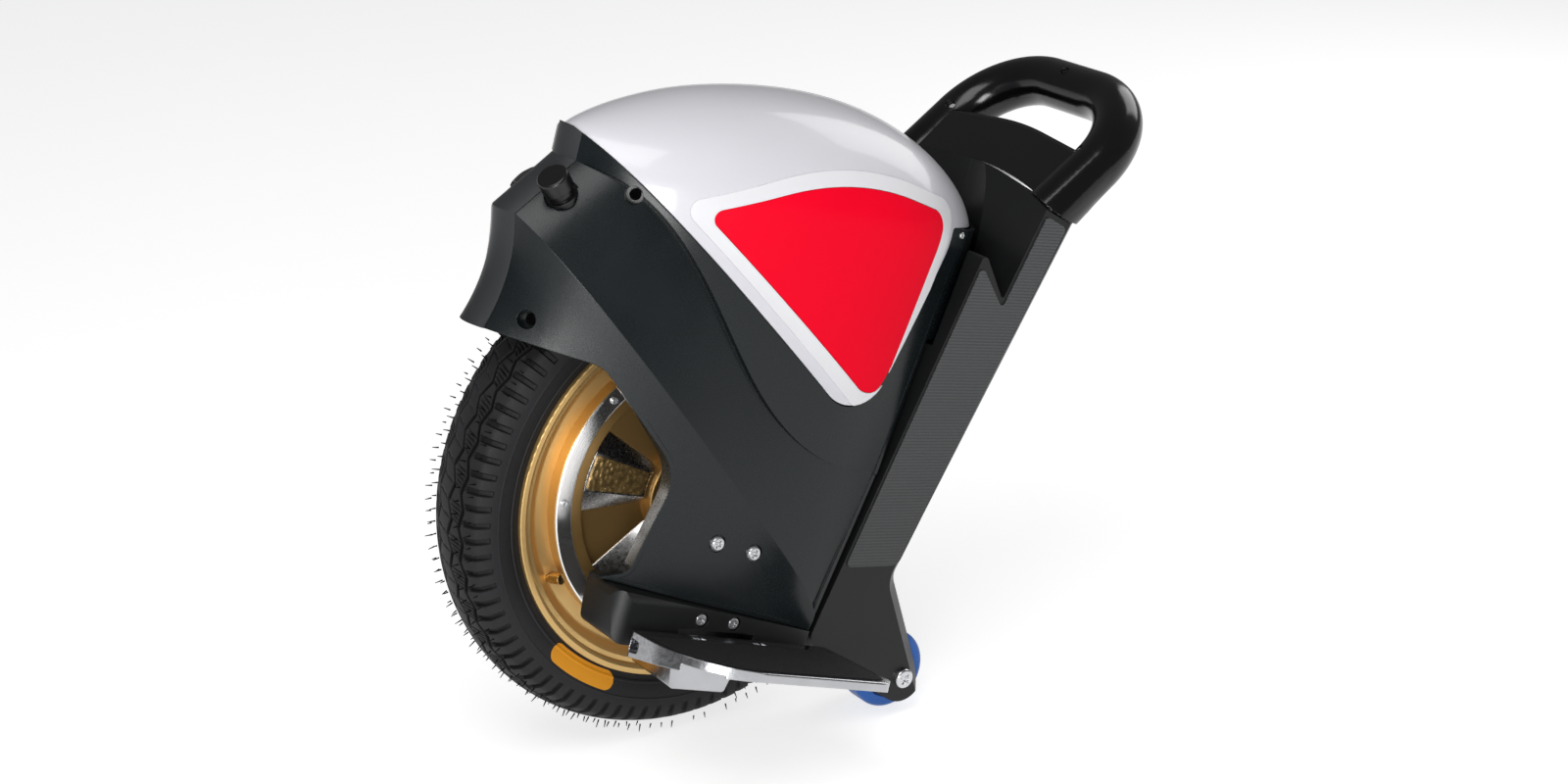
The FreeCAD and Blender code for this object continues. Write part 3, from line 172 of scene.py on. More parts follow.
class Wiring:
    """Short ways to add and join shader nodes in one tree."""

    def __init__(self, tree):
        self.tree = tree

    def add(self, kind, **settings):
        node = self.tree.nodes.new(kind)
        for key, value in settings.items():
            setattr(node, key, value)
        return node

    def put(self, socket, value):
        """A socket takes a link from another socket, or a plain value."""
        if isinstance(value, bpy.types.NodeSocket):
            self.tree.links.new(value, socket)
        elif hasattr(value, "__len__") and socket.type == "RGBA" and len(value) == 3:
            socket.default_value = (*value, 1.0)
        else:
            socket.default_value = value

    def math(self, operation, *values, clamp=False):
        node = self.add("ShaderNodeMath", operation=operation, use_clamp=clamp)
        for socket, value in zip(node.inputs, values):
            self.put(socket, value)
        return node.outputs[0]

    def vector(self, operation, *values):
        node = self.add("ShaderNodeVectorMath", operation=operation)
        for socket, value in zip(node.inputs, values):
            self.put(socket, value)
        return node.outputs[0]

    def scaled(self, vector, factor):
        node = self.add("ShaderNodeVectorMath", operation="SCALE")
        self.put(node.inputs[0], vector)
        self.put(node.inputs["Scale"], factor)
        return node.outputs[0]

    def spread(self, value, low, high, to_low, to_high):
        node = self.add("ShaderNodeMapRange", clamp=True)
        for socket, item in zip(node.inputs, (value, low, high, to_low, to_high)):
            self.put(socket, item)
        return node.outputs[0]

    def mix(self, share, a, b):
        node = self.add("ShaderNodeMix", data_type="RGBA")
        self.put(node.inputs[0], share)
        self.put(node.inputs[6], a)
        self.put(node.inputs[7], b)
        return node.outputs[2]

    def noise(self, vector, scale, detail=2.0, rough=0.5):
        node = self.add("ShaderNodeTexNoise")
        self.put(node.inputs["Vector"], vector)
        self.put(node.inputs["Scale"], scale)
        self.put(node.inputs["Detail"], detail)
        self.put(node.inputs["Roughness"], rough)
        return node.outputs["Fac"]

    def cells(self, vector, scale, feature="F1"):
        node = self.add("ShaderNodeTexVoronoi", feature=feature)
        self.put(node.inputs["Vector"], vector)
        self.put(node.inputs["Scale"], scale)
        return node.outputs["Distance"]

    def bump(self, height, strength, distance, normal=None):
        node = self.add("ShaderNodeBump")
        self.put(node.inputs["Height"], height)
        self.put(node.inputs["Strength"], strength)
        self.put(node.inputs["Distance"], distance)
        if normal is not None:
            self.put(node.inputs["Normal"], normal)
        return node.outputs[0]

    def soft_edge(self, radius):
        node = self.add("ShaderNodeBevel", samples=4)
        self.put(node.inputs["Radius"], radius)
        return node.outputs[0]

    def place(self):
        return self.add("ShaderNodeTexCoord").outputs["Object"]

    def group(self, tree, **values):
        node = self.add("ShaderNodeGroup", node_tree=tree)
        for key, value in values.items():
            self.put(node.inputs[key], value)
        return node.outputs


FLOAT, VECTOR = "NodeSocketFloat", "NodeSocketVector"


def start_group(name, inputs, outputs):
    """Empty node group with its sockets; gives its wiring, its inputs and its output node."""
    tree = bpy.data.node_groups.new(name, "ShaderNodeTree")
    for label, kind, default in inputs:
        tree.interface.new_socket(label, in_out="INPUT", socket_type=kind).default_value = default
    for label, kind in outputs:
        tree.interface.new_socket(label, in_out="OUTPUT", socket_type=kind)
    wires = Wiring(tree)
    return wires, wires.add("NodeGroupInput").outputs, wires.add("NodeGroupOutput").inputs


def grain_group():
    """Fine grain of moulded plastic, with softened edges and a slow drift of tone."""
    inputs = [("Size", FLOAT, 0.001), ("Depth", FLOAT, 0.2), ("Edge", FLOAT, 0.0007)]
    outputs = [("Normal", VECTOR), ("Fine", FLOAT), ("Drift", FLOAT)]
    w, given, out = start_group("Moulded grain", inputs, outputs)
    place = w.place()
    fine = w.noise(w.scaled(place, w.math("DIVIDE", 1.0, given["Size"])), 1.0, 3.0, 0.6)
    drift = w.noise(place, 9.0, 3.0, 0.55)
    height = w.bump(fine, given["Depth"], w.math("MULTIPLY", given["Size"], 0.3), w.soft_edge(given["Edge"]))
    w.put(out["Normal"], height)
    w.put(out["Fine"], fine)
    w.put(out["Drift"], drift)
    return w.tree


def polar_group():
    """Radius from the axle, angle round it and distance across, for things that turn with the wheel."""
    outputs = [("Radius", FLOAT), ("Angle", FLOAT), ("Across", FLOAT)]
    w, given, out = start_group("Wheel place", [("Centre", VECTOR, (0, 0, 0))], outputs)
    offset = w.vector("SUBTRACT", w.place(), given["Centre"])
    parts = w.add("ShaderNodeSeparateXYZ")
    w.put(parts.inputs[0], offset)
    x, y, z = parts.outputs
    w.put(out["Radius"], w.math("SQRT", w.math("ADD", w.math("MULTIPLY", x, x), w.math("MULTIPLY", z, z))))
    w.put(out["Angle"], w.math("ARCTAN2", x, z))
    w.put(out["Across"], y)
    return w.tree


def weave_group():
    """Two-over-two twill cloth on an upright face: height of the threads and which way they run."""
    inputs = [("Pitch", FLOAT, 0.002), ("Turn", FLOAT, 0.0)]
    w, given, out = start_group("Twill weave", inputs, [("Height", FLOAT), ("Over", FLOAT)])
    parts = w.add("ShaderNodeSeparateXYZ")
    w.put(parts.inputs[0], w.scaled(w.place(), w.math("DIVIDE", 1.0, given["Pitch"])))
    x, _, z = parts.outputs
    cos, sin = w.math("COSINE", given["Turn"]), w.math("SINE", given["Turn"])
    u = w.math("ADD", w.math("MULTIPLY", x, cos), w.math("MULTIPLY", z, sin))
    v = w.math("SUBTRACT", w.math("MULTIPLY", z, cos), w.math("MULTIPLY", x, sin))
    step = w.math("ADD", w.math("FLOOR", u), w.math("FLOOR", v))
    over = w.math("LESS_THAN", w.math("FLOORED_MODULO", step, 4.0), 2.0)
    along_u = w.math("SINE", w.math("MULTIPLY", w.math("FRACT", u), math.pi))
    along_v = w.math("SINE", w.math("MULTIPLY", w.math("FRACT", v), math.pi))
    both = w.math("ADD", w.math("MULTIPLY", over, along_v),
                  w.math("MULTIPLY", w.math("SUBTRACT", 1.0, over), along_u))
    w.put(out["Height"], both)
    w.put(out["Over"], over)
    return w.tree


def dimple_group():
    """Hammered metal: shallow dimples with rounded ridges."""
    inputs = [("Size", FLOAT, 0.003), ("Depth", FLOAT, 0.6)]
    w, given, out = start_group("Hammered", inputs, [("Normal", VECTOR), ("Height", FLOAT)])
    place = w.scaled(w.place(), w.math("DIVIDE", 1.0, given["Size"]))
    wobble = w.noise(place, 1.3, 1.0)
    cells = w.cells(w.vector("ADD", place, w.scaled(wobble, 0.7)), 1.0, "SMOOTH_F1")
    reach = w.math("MULTIPLY", given["Size"], 0.35)
    w.put(out["Normal"], w.bump(cells, given["Depth"], reach, w.soft_edge(0.0006)))
    w.put(out["Height"], cells)
    return w.tree


def cast_group():
    """Cast metal: a fine orange-peel skin with a few pits, and soft edges that have been handled."""
    inputs = [("Size", FLOAT, 0.0012), ("Depth", FLOAT, 0.3)]
    w, given, out = start_group("Cast skin", inputs, [("Normal", VECTOR), ("Fine", FLOAT), ("Drift", FLOAT)])
    place = w.place()
    near = w.scaled(place, w.math("DIVIDE", 1.0, given["Size"]))
    fine = w.noise(near, 1.0, 4.0, 0.65)
    pits = w.spread(w.cells(near, 0.35), 0.0, 0.16, 0.0, 1.0)
    height = w.math("ADD", fine, w.math("MULTIPLY", pits, 0.5))
    reach = w.math("MULTIPLY", given["Size"], 0.25)
    w.put(out["Normal"], w.bump(height, given["Depth"], reach, w.soft_edge(0.0009)))
    w.put(out["Fine"], fine)
    w.put(out["Drift"], w.noise(place, 22.0, 3.0))
    return w.tree


def grit_group():
    """Grip sheet: packed grit, with painted glints on a few grains."""
    w, given, out = start_group("Grit", [("Size", FLOAT, 0.0007)], [("Normal", VECTOR), ("Glints", FLOAT)])
    near = w.scaled(w.place(), w.math("DIVIDE", 1.0, given["Size"]))
    cells = w.cells(near, 1.0)
    lumps = w.noise(near, 0.22, 2.0)
    height = w.math("ADD", w.math("MULTIPLY", cells, -1.0), lumps)
    w.put(out["Normal"], w.bump(height, 0.9, w.math("MULTIPLY", given["Size"], 0.6)))
    # Painted glints: a few grains are coloured bright.
    w.put(out["Glints"], w.spread(w.noise(near, 0.9, 1.0), 0.66, 0.74, 0.0, 1.0))
    return w.tree


def lathe_group():
    """Turned metal: fine rings about the axle."""
    w, given, out = start_group(
        "Turned rings", [("Radius", FLOAT, 0.1), ("Depth", FLOAT, 0.1)], [("Normal", VECTOR), ("Ring", FLOAT)]
    )
    line = w.add("ShaderNodeCombineXYZ")
    w.put(line.inputs[0], given["Radius"])
    ring = w.noise(line.outputs[0], 2600.0, 2.0)
    w.put(out["Normal"], w.bump(ring, given["Depth"], 0.0004, w.soft_edge(0.0006)))
    w.put(out["Ring"], ring)
    return w.tree


GROUPS = {}


def shared(name):
    """Node group made once and used by many materials."""
    makers = {
        "grain": grain_group, "polar": polar_group, "weave": weave_group, "dimple": dimple_group,
        "cast": cast_group, "grit": grit_group, "lathe": lathe_group,
    }
    if name not in GROUPS:
        GROUPS[name] = makers[name]()
    return GROUPS[name]


def start_material(name, **values):
    """New material with one Principled surface; values set its sockets by name."""
    surface = bpy.data.materials.new(name)
    surface.use_nodes = True
    surface.node_tree.nodes.clear()
    w = Wiring(surface.node_tree)
    w.material = surface
    w.bsdf = w.add("ShaderNodeBsdfPrincipled")
    w.put(w.add("ShaderNodeOutputMaterial").inputs["Surface"], w.bsdf.outputs[0])
    for key, value in values.items():
        w.put(w.bsdf.inputs[key.replace("_", " ")], value)
    return w


def plastic(name, tint, rough, depth, size=None, gloss=0.5, coat=0.0, vary=0.18):
    """Moulded plastic with grain, soft edges and small changes of tone and shine."""
    sizes = bpy.context.scene.unicycle_sizes
    w = start_material(name, Specular_IOR_Level=gloss, Coat_Weight=coat, Coat_Roughness=0.06)
    grain = w.group(shared("grain"), Size=size or sizes.grain, Depth=depth, Edge=sizes.edge)
    share = w.spread(grain["Drift"], 0.3, 0.7, 0.0, 1.0)
    dark, pale = [c * (1 - vary) for c in tint], [c * (1 + vary) for c in tint]
    w.put(w.bsdf.inputs["Base Color"], w.mix(share, dark, pale))
    change = w.math("ADD", w.spread(grain["Drift"], 0.3, 0.7, -0.05, 0.05),
                    w.spread(grain["Fine"], 0.3, 0.7, -0.04, 0.04))
    w.put(w.bsdf.inputs["Roughness"], w.math("ADD", change, rough))
    w.put(w.bsdf.inputs["Normal"], grain["Normal"])
    return w.material


def gloss_paint(name, tint):
    """Smooth lacquer: even colour, faint orange peel and a clear coat."""
    w = start_material(name, Specular_IOR_Level=0.4, Coat_Weight=0.45, Coat_Roughness=0.08)
    grain = w.group(shared("grain"), Size=0.0032, Depth=0.035, Edge=0.0006)
    share = w.spread(grain["Drift"], 0.3, 0.7, 0.0, 1.0)
    w.put(w.bsdf.inputs["Base Color"], w.mix(share, [c * 0.975 for c in tint], tint))
    w.put(w.bsdf.inputs["Roughness"], w.spread(grain["Fine"], 0.3, 0.7, 0.30, 0.38))
    w.put(w.bsdf.inputs["Normal"], grain["Normal"])
    return w.material


def metal(name, tint, rough, depth=0.25, size=0.0011, bare=1.0):
    """Metal with a cast skin; a plated or painted one is less than fully bare."""
    w = start_material(name, Metallic=bare)
    skin = w.group(shared("cast"), Size=size, Depth=depth)
    share = w.spread(skin["Drift"], 0.3, 0.7, 0.0, 1.0)
    w.put(w.bsdf.inputs["Base Color"], w.mix(share, [c * 0.86 for c in tint], [c * 1.08 for c in tint]))
    w.put(w.bsdf.inputs["Roughness"], w.math("ADD", w.spread(skin["Fine"], 0.3, 0.7, -0.07, 0.07), rough))
    w.put(w.bsdf.inputs["Normal"], skin["Normal"])
    return w.material


def turned_metal(name, tint, rough, depth, bare=1.0):
    """Metal with fine turning rings about the axle; a painted one is less than fully bare."""
    w = start_material(name, Metallic=bare)
    where = w.group(shared("polar"), Centre=wheel_centre())
    rings = w.group(shared("lathe"), Radius=where["Radius"], Depth=depth)
    share = w.spread(rings["Ring"], 0.3, 0.7, 0.0, 1.0)
    w.put(w.bsdf.inputs["Base Color"], w.mix(share, [c * 0.88 for c in tint], [c * 1.06 for c in tint]))
    w.put(w.bsdf.inputs["Roughness"], w.math("ADD", w.spread(rings["Ring"], 0.3, 0.7, -0.05, 0.05), rough))
    w.put(w.bsdf.inputs["Normal"], rings["Normal"])
    return w.material


def dress(surface, *names):
    """One material on CAD nodes."""
    for name in names:
        data = NODES[name].data
        data.materials.clear()
        data.materials.append(surface)


def rounded(corners, steps=8):
    """Points of an outline whose corners, each with its own radius, are rounded."""
    line = []
    for k, (x, z, size) in enumerate(corners):
        spot = Vector((x, z))
        before = (Vector(corners[k - 1][:2]) - spot).normalized()
        after = (Vector(corners[(k + 1) % len(corners)][:2]) - spot).normalized()
        half = before.angle(after) / 2
        centre = spot + (before + after).normalized() * (size / math.sin(half))
        first = spot + before * (size / math.tan(half)) - centre
        last = spot + after * (size / math.tan(half)) - centre
        for step in range(steps + 1):
            line.append(centre + first.lerp(last, step / steps).normalized() * size)
    return line


def encloses(line, x, z):
    """Whether a closed line of points goes round a place."""
    within = False
    for a, b in zip(line, line[1:] + line[:1]):
        if (a.y > z) != (b.y > z) and x < a.x + (z - a.y) * (b.x - a.x) / (b.y - a.y):
            within = not within
    return within


def also_dress(name, surface, chosen):
    """Second material on those faces of a node whose middle, in the riding pose, is chosen."""
    data = NODES[name].data
    data.materials.append(surface)
    back = Matrix.Rotation(-LEAN, 3, "Y")
    centre = wheel_centre()
    for face in data.polygons:
        spot = back @ (face.center - centre) * 1000.0
        if chosen(spot.x, spot.z):
            face.material_index = 1


def sides(*names):
    """Names of the left and right nodes of some pieces."""
    return [name + end for name in names for end in ("_left", "_right")]


# Wheel


# Blank patch on the tyre wall: angle of its middle and half its length, radius and half its width in metres.
PATCH_ANGLE, PATCH_HALF = -2.45, 0.165
PATCH_R, PATCH_WIDE = 0.1465, 0.0068


def rubber_material(colours):
    """Tyre rubber: grained, with a dusty crown, painted shade in the grooves and one blank patch with round
    ends.
    """
    w = start_material("tyre_rubber", Specular_IOR_Level=0.32)
    where = w.group(shared("polar"), Centre=wheel_centre())
    radius, angle, across = where["Radius"], where["Angle"], where["Across"]
    grain = w.group(shared("grain"), Size=0.0011, Depth=0.3, Edge=0.0004)
    w.put(w.bsdf.inputs["Normal"], grain["Normal"])
    turned = w.math("ABSOLUTE", w.math("SUBTRACT", angle, PATCH_ANGLE))
    past = w.math("MAXIMUM", w.math("MULTIPLY", w.math("SUBTRACT", turned, PATCH_HALF), PATCH_R), 0.0)
    out = w.math("SUBTRACT", radius, PATCH_R)
    reach = w.math("SQRT", w.math("ADD", w.math("MULTIPLY", past, past), w.math("MULTIPLY", out, out)))
    left = w.math("LESS_THAN", across, 0.0)
    patch = w.math("MULTIPLY", w.spread(reach, PATCH_WIDE, PATCH_WIDE + 0.0003, 1.0, 0.0), left)
    dust = [c * 1.9 for c in colours.rubber]
    dusty = w.mix(w.spread(grain["Drift"], 0.35, 0.75, 0.0, 1.0), colours.rubber, dust)
    wear_and_groove_shade = w.mix(w.spread(radius, 0.176, 0.181, 0.0, 0.35), dusty, [c * 3.0 for c in colours.rubber])
    # Painted shade: the base colour darkens with the groove depth, standing in for the shade inside the
    # grooves.
    groove = w.add("ShaderNodeAttribute", attribute_name="groove").outputs["Fac"]
    wear_and_groove_shade = w.mix(w.spread(groove, 0.3, 2.0, 0.0, 0.9), wear_and_groove_shade, [c * 0.2 for c in colours.rubber])
    w.put(w.bsdf.inputs["Base Color"], w.mix(patch, wear_and_groove_shade, colours.sticker))
    w.put(w.bsdf.inputs["Roughness"], w.math("ADD", w.spread(grain["Fine"], 0.3, 0.7, -0.06, 0.06),
                                             w.spread(patch, 0.0, 1.0, 0.62, 0.4)))
    return w.material


def hammered_material(colours, size):
    """Gold with hammer marks, with painted shade darkening the dimples' rims."""
    w = start_material("hammered_gold", Metallic=0.8)
    marks = w.group(shared("dimple"), Size=size, Depth=0.8)
    # Painted shade: a darker gold along the dimples' rims, following the hammer relief.
    painted_rim_shade = [c * 0.35 for c in colours.gold]
    share = w.spread(marks["Height"], 0.1, 0.6, 0.0, 1.0)
    w.put(w.bsdf.inputs["Base Color"], w.mix(share, colours.gold, painted_rim_shade))
    w.put(w.bsdf.inputs["Roughness"], w.spread(marks["Height"], 0.1, 0.6, 0.22, 0.40))
    w.put(w.bsdf.inputs["Normal"], marks["Normal"])
    return w.material


def add_mesh(name, build, surface, body, smooth=True):
    """New piece from a bmesh builder, riding on a body."""
    data = bpy.data.meshes.new(name)
    shape = bmesh.new()
    build(shape)
    bmesh.ops.recalc_face_normals(shape, faces=shape.faces)
    shape.to_mesh(data)
    shape.free()
    data.materials.append(surface)
    for face in data.polygons:
        face.use_smooth = smooth
    piece = bpy.data.objects.new(name, data)
    bpy.context.scene.collection.objects.link(piece)
    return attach(piece, body)


# Tyre, in millimetres: rim flange, then shoulder, widest point and lip below the crown or in from the side.
FLANGE_R = 137.5
SHOULDER_DROP, SHOULDER_IN = 9.0, 4.0
WIDEST_DROP = 25.0
LIP_RISE, LIP_IN = 1.5, 6.0
# Inside of the tyre: the bead's sink below the flange and its two faces, the carcass and the wall at the crown.
BEAD_SINK, BEAD_OUTER, BEAD_INNER = 10.0, 7.6, 13.6
CARCASS_DROP, CARCASS_IN, CROWN_WALL = 32.0, 8.5, 10.0
# Tread: repeats round the tyre, columns in each, slant of the pattern and the angle of a crisp edge.
TREAD_TURNS = 45
COLUMNS = 24
SLANT, SLANT_REACH = 0.42, 20.0
CRISP = math.radians(32.0)
# Rows of the half tread: arc length from the crown, side sway of the zig-zag and groove depth.
TREAD_ROWS = (
    (0.0, 0.0, 0.0), (3.0, 1.0, 0.0), (6.0, 2.4, 0.0), (6.6, 2.4, 3.4), (8.4, 2.4, 3.4), (9.0, 2.4, 0.0),
    (10.5, 1.6, 0.0), (12.0, 0.9, 0.0), (14.0, -0.1, 0.0), (16.0, -1.2, 0.0), (17.0, -1.8, 0.0),
    (17.6, -1.8, 2.8), (19.4, -1.8, 2.8), (20.0, -1.8, 0.0), (21.4, -1.2, 0.0), (24.0, 0.0, 0.0),
    (27.0, 0.0, 0.0), (29.8, 0.0, 0.0),
)
# Rows of the wall: arc length past the shoulder, depth of the gaps between lugs and rise of the rings.
WALL_ROWS = (
    (2.5, 2.6, 0.0), (5.5, 2.4, 0.0), (8.5, 2.0, 0.0), (11.0, 1.3, 0.0), (11.6, 0.0, 0.0), (14.0, 0.0, 0.0),
    (16.6, 0.0, 0.0), (17.0, 0.0, 0.5), (17.8, 0.0, 0.5), (18.2, 0.0, 0.0), (22.0, 0.0, 0.0),
    (26.0, 0.0, 0.0), (28.6, 0.0, 0.0), (29.2, 0.0, 0.7), (30.6, 0.0, 0.7), (31.2, 0.0, 0.0),
    (33.0, 0.0, 0.0),
)
GAPS = (3, 4, 5, 6, 15, 16, 17, 18)
# Fine slits, nicks at the crown and gaps between lugs: columns, reach in arc length and depth.
CUTS = (((2, 5, 8, 11, 14), 10.0, 16.5, 1.7), ((0, 12), 1.0, 4.0, 1.2), (GAPS, 21.0, 30.0, 2.6))
# Mould hairs: place across and drop below the crown of each in a row, size at root and tip, depth of the root.
HAIR_SPOTS = ((-29.5, 4.4), (-16.0, 0.9), (16.0, 0.9), (29.5, 4.4))
HAIR_ROOT, HAIR_TIP, HAIR_SINK = 0.62, 0.26, 0.9
# Shift of each hair from the last in its row, sideways lean, and least height of a tip in metres.
HAIR_SHIFT, HAIR_LEAN, HAIR_CLEAR = 0.27, 0.12, 0.0006


def circle_through(a, b, c):
    """Centre and radius of the circle through three points of a section."""
    d = 2 * (a.x * (b.y - c.y) + b.x * (c.y - a.y) + c.x * (a.y - b.y))
    x = (a.length_squared * (b.y - c.y) + b.length_squared * (c.y - a.y) + c.length_squared * (a.y - b.y)) / d
    y = (a.length_squared * (c.x - b.x) + b.length_squared * (a.x - c.x) + c.length_squared * (b.x - a.x)) / d
    centre = Vector((x, y))
    return centre, (a - centre).length


class TyreSection:
    """Half section of the tyre in millimetres: arc length from the crown to a point and its outward way."""

    def __init__(self, radius, half):
        self.shoulder = Vector((radius - SHOULDER_DROP, half - SHOULDER_IN))
        twin = Vector((self.shoulder.x, -self.shoulder.y))
        lip = Vector((FLANGE_R + LIP_RISE, half - LIP_IN))
        self.crown = circle_through(Vector((radius, 0)), self.shoulder, twin)
        self.wall = circle_through(self.shoulder, Vector((radius - WIDEST_DROP, half)), lip)
        self.tread = self.crown[1] * self.angle(self.crown[0], self.shoulder)

    @staticmethod
    def angle(centre, point):
        return math.atan2(point.y - centre.y, point.x - centre.x)

    def at(self, length):
        """Point and outward way at an arc length from the crown."""
        if length <= self.tread:
            (centre, size), turn = self.crown, length / self.crown[1]
        else:
            centre, size = self.wall
            turn = self.angle(centre, self.shoulder) + (length - self.tread) / size
        way = Vector((math.cos(turn), math.sin(turn)))
        return centre + way * size, way


def tread_depth(length, column):
    """Depth of the fine slits and of the gaps between shoulder lugs at one place of the tread."""
    for columns, low, high, depth in CUTS:
        if low < length < high and column in columns:
            return depth
    return 0.0


def round_axle(centre, turn, radius, across):
    """Place in the frame of a point given by its angle, radius and distance across, in millimetres."""
    return centre + Vector((math.sin(turn) * radius, across, math.cos(turn) * radius)) / 1000


def tyre_mesh(radius, half):
    """Points, faces and groove depths of a tyre with zig-zag grooves, slits, lugs and rings on its wall."""
    section = TyreSection(radius, half)
    rows = []
    for side in (1, -1):
        part = []
        for length, sway, groove in TREAD_ROWS:
            part.append((side, length, sway, groove, None))
        for past, gap, rise in WALL_ROWS:
            part.append((side, section.tread + past, 0.0, -rise, gap))
        rows.append(part)
    order = list(reversed(rows[1][1:])) + rows[0]
    seat = FLANGE_R - BEAD_SINK
    bead = [(seat, half - BEAD_OUTER), (seat, half - BEAD_INNER), (radius - CARCASS_DROP, half - CARCASS_IN)]
    inner = [(r, -y) for r, y in bead] + [(radius - CROWN_WALL, 0.0)] + list(reversed(bead))
    total = TREAD_TURNS * COLUMNS
    step = 2 * math.pi / total
    centre = wheel_centre()
    points, depths = [], []
    for number in range(total):
        column = number % COLUMNS
        for side, length, sway, groove, gap in order:
            shift = column if side > 0 else (column + COLUMNS // 2) % COLUMNS
            wave = abs(shift / COLUMNS * 2 - 1) * 2 - 1
            depth = groove
            if gap is None:
                depth = max(groove, tread_depth(length, shift))
            elif shift in GAPS:
                depth = max(gap, groove) if gap else groove
            spot, way = section.at(length + sway * wave)
            spot = spot - way * depth
            depths.append(depth)
            slant = min(length, SLANT_REACH) * SLANT / radius
            points.append(round_axle(centre, number * step + slant * side, spot.x, side * spot.y))
        for r, y in inner:
            points.append(round_axle(centre, number * step, r, y))
            depths.append(0.0)
    ring = len(order) + len(inner)
    # The open ends of the two runs meet: inner points follow the left bead round to the right one.
    loop = list(range(len(order))) + list(range(ring - 1, len(order) - 1, -1))
    faces = []
    for number in range(total):
        a, b = number * ring, (number + 1) % total * ring
        for k, row in enumerate(loop):
            after = loop[(k + 1) % ring]
            faces.append((a + row, a + after, b + after, b + row))
    return points, faces, depths


def add_tyre(surface):
    """Tyre with its full tread in place of the plainer one."""
    low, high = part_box("tyre")
    data = bpy.data.meshes.new("tyre_tread")
    points, faces, depths = tyre_mesh((high.z - low.z) * 500.0, (high.y - low.y) * 500.0)
    data.from_pydata(points, [], faces)
    data.validate()
    data.update()
    shape = bmesh.new()
    shape.from_mesh(data)
    bmesh.ops.recalc_face_normals(shape, faces=shape.faces)
    shape.to_mesh(data)
    shape.free()
    data.attributes.new("groove", "FLOAT", "POINT").data.foreach_set("value", depths)
    data.shade_smooth()
    data.set_sharp_from_angle(angle=CRISP)
    data.materials.append(surface)
    tyre = bpy.data.objects.new("tyre_tread", data)
    bpy.context.scene.collection.objects.link(tyre)
    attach(tyre, "wheel")
    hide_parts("tyre")


def hair_builder(rows, length, tyre_r):
    """Thin tapered hairs left by the tyre mould, leaning a little in turn."""

    def build(shape):
        centre = wheel_centre()
        for row in range(rows):
            for number, (across, drop) in enumerate(HAIR_SPOTS):
                angle = 2 * math.pi * (row + HAIR_SHIFT * number) / rows
                lean = HAIR_LEAN * (-1) ** row * (1 + number % 2)
                out = Vector((math.sin(angle), lean, math.cos(angle))).normalized()
                root = round_axle(centre, angle, tyre_r * 1000 - drop - HAIR_SINK, across)
                size = length * (0.55 + 0.45 * math.sin(row * 2.3 + number) ** 2)
                # A hair under the tyre would go through the floor.
                if root.z + out.z * size < HAIR_CLEAR:
                    continue
                turn = out.to_track_quat("Z", "Y").to_matrix().to_4x4()
                place = Matrix.Translation(root + out * size / 2) @ turn
                bmesh.ops.create_cone(
                    shape, cap_ends=True, segments=5, radius1=HAIR_ROOT / 1000, radius2=HAIR_TIP / 1000,
                    depth=size, matrix=place,
                )
    return build


class UNICYCLE_OT_wheel(bpy.types.Operator):
    """Tyre rubber, gold rim, polished rings, hammered spoke pads and mould hairs"""

    bl_idname = "unicycle.wheel"
    bl_label = "Dress Wheel"

    def execute(self, context):
        colours, sizes = context.scene.unicycle_colours, context.scene.unicycle_sizes
        rubber = rubber_material(colours)
        dress(rubber, "tyre", "inner_tube")
        add_tyre(rubber)
        dress(turned_metal("gold_rim", colours.gold, 0.38, 0.10, 0.7), "rim")
        dress(turned_metal("bronze_cover", colours.bronze, 0.32, 0.12, 0.8), *sides("motor_cover"))
        dress(metal("polished_spoke", [c * 0.8 for c in colours.chrome], 0.28, 0.06, 0.002), "cover_spokes")
        dress(hammered_material(colours, sizes.hammer), "spoke_pads")
        dress(turned_metal("chrome_ring", colours.chrome, 0.13, 0.06, 0.95), "trim_rings")
        dress(metal("zinc_screw", colours.steel, 0.26, 0.08, 0.002, 0.7), "ring_screws")
        dress(metal("brass_valve", colours.gold, 0.30, 0.08, 0.002), "valve")
        tyre_r = (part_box("tyre")[1].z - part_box("tyre")[0].z) / 2
        hair = plastic("hair_black", [c * 0.4 for c in colours.rubber], 0.8, 0.1, gloss=0.1)
        add_mesh("tyre_hairs", hair_builder(sizes.hairs, sizes.hair, tyre_r), hair, "wheel")
        return {"FINISHED"}


# Body


# Strip screw, in millimetres: radius and height of the rings of its head, then its cross recess.
HEAD_RINGS = (
    (2.6, -0.8), (2.6, 0.5), (2.3, 0.9), (1.9, 1.1), (1.5, 1.2), (1.1, 1.25), (0.7, 1.3), (0.35, 1.3),
)
HEAD_SIDES = 32
CROSS_REACH, CROSS_HALF, CROSS_DEPTH = 1.7, 0.35, 0.7


def screw_builder(place, out):
    """Pan head with a cross recess, on both sides of the machine."""

    def build(shape):
        for side in (1, -1):
            root = placed(place[0], place[1] * side, place[2])
            way = Matrix.Rotation(LEAN, 3, "Y") @ Vector((out[0], out[1] * side, out[2]))
            turn = way.to_track_quat("Z", "Y").to_matrix()
            loops = []
            for size, height in HEAD_RINGS:
                loop = []
                for k in range(HEAD_SIDES):
                    turned = 2 * math.pi * k / HEAD_SIDES
                    x, y = size * math.cos(turned), size * math.sin(turned)
                    cross = max(abs(x), abs(y)) < CROSS_REACH and min(abs(x), abs(y)) < CROSS_HALF
                    spot = Vector((x, y, height - CROSS_DEPTH * cross)) / 1000.0
                    loop.append(shape.verts.new(root + turn @ spot))
                loops.append(loop)
            for low, high in zip(loops, loops[1:]):
                for k in range(HEAD_SIDES):
                    shape.faces.new((low[k - 1], low[k], high[k], high[k - 1]))
            shape.faces.new(loops[-1])
            shape.faces.new(reversed(loops[0]))
    return build


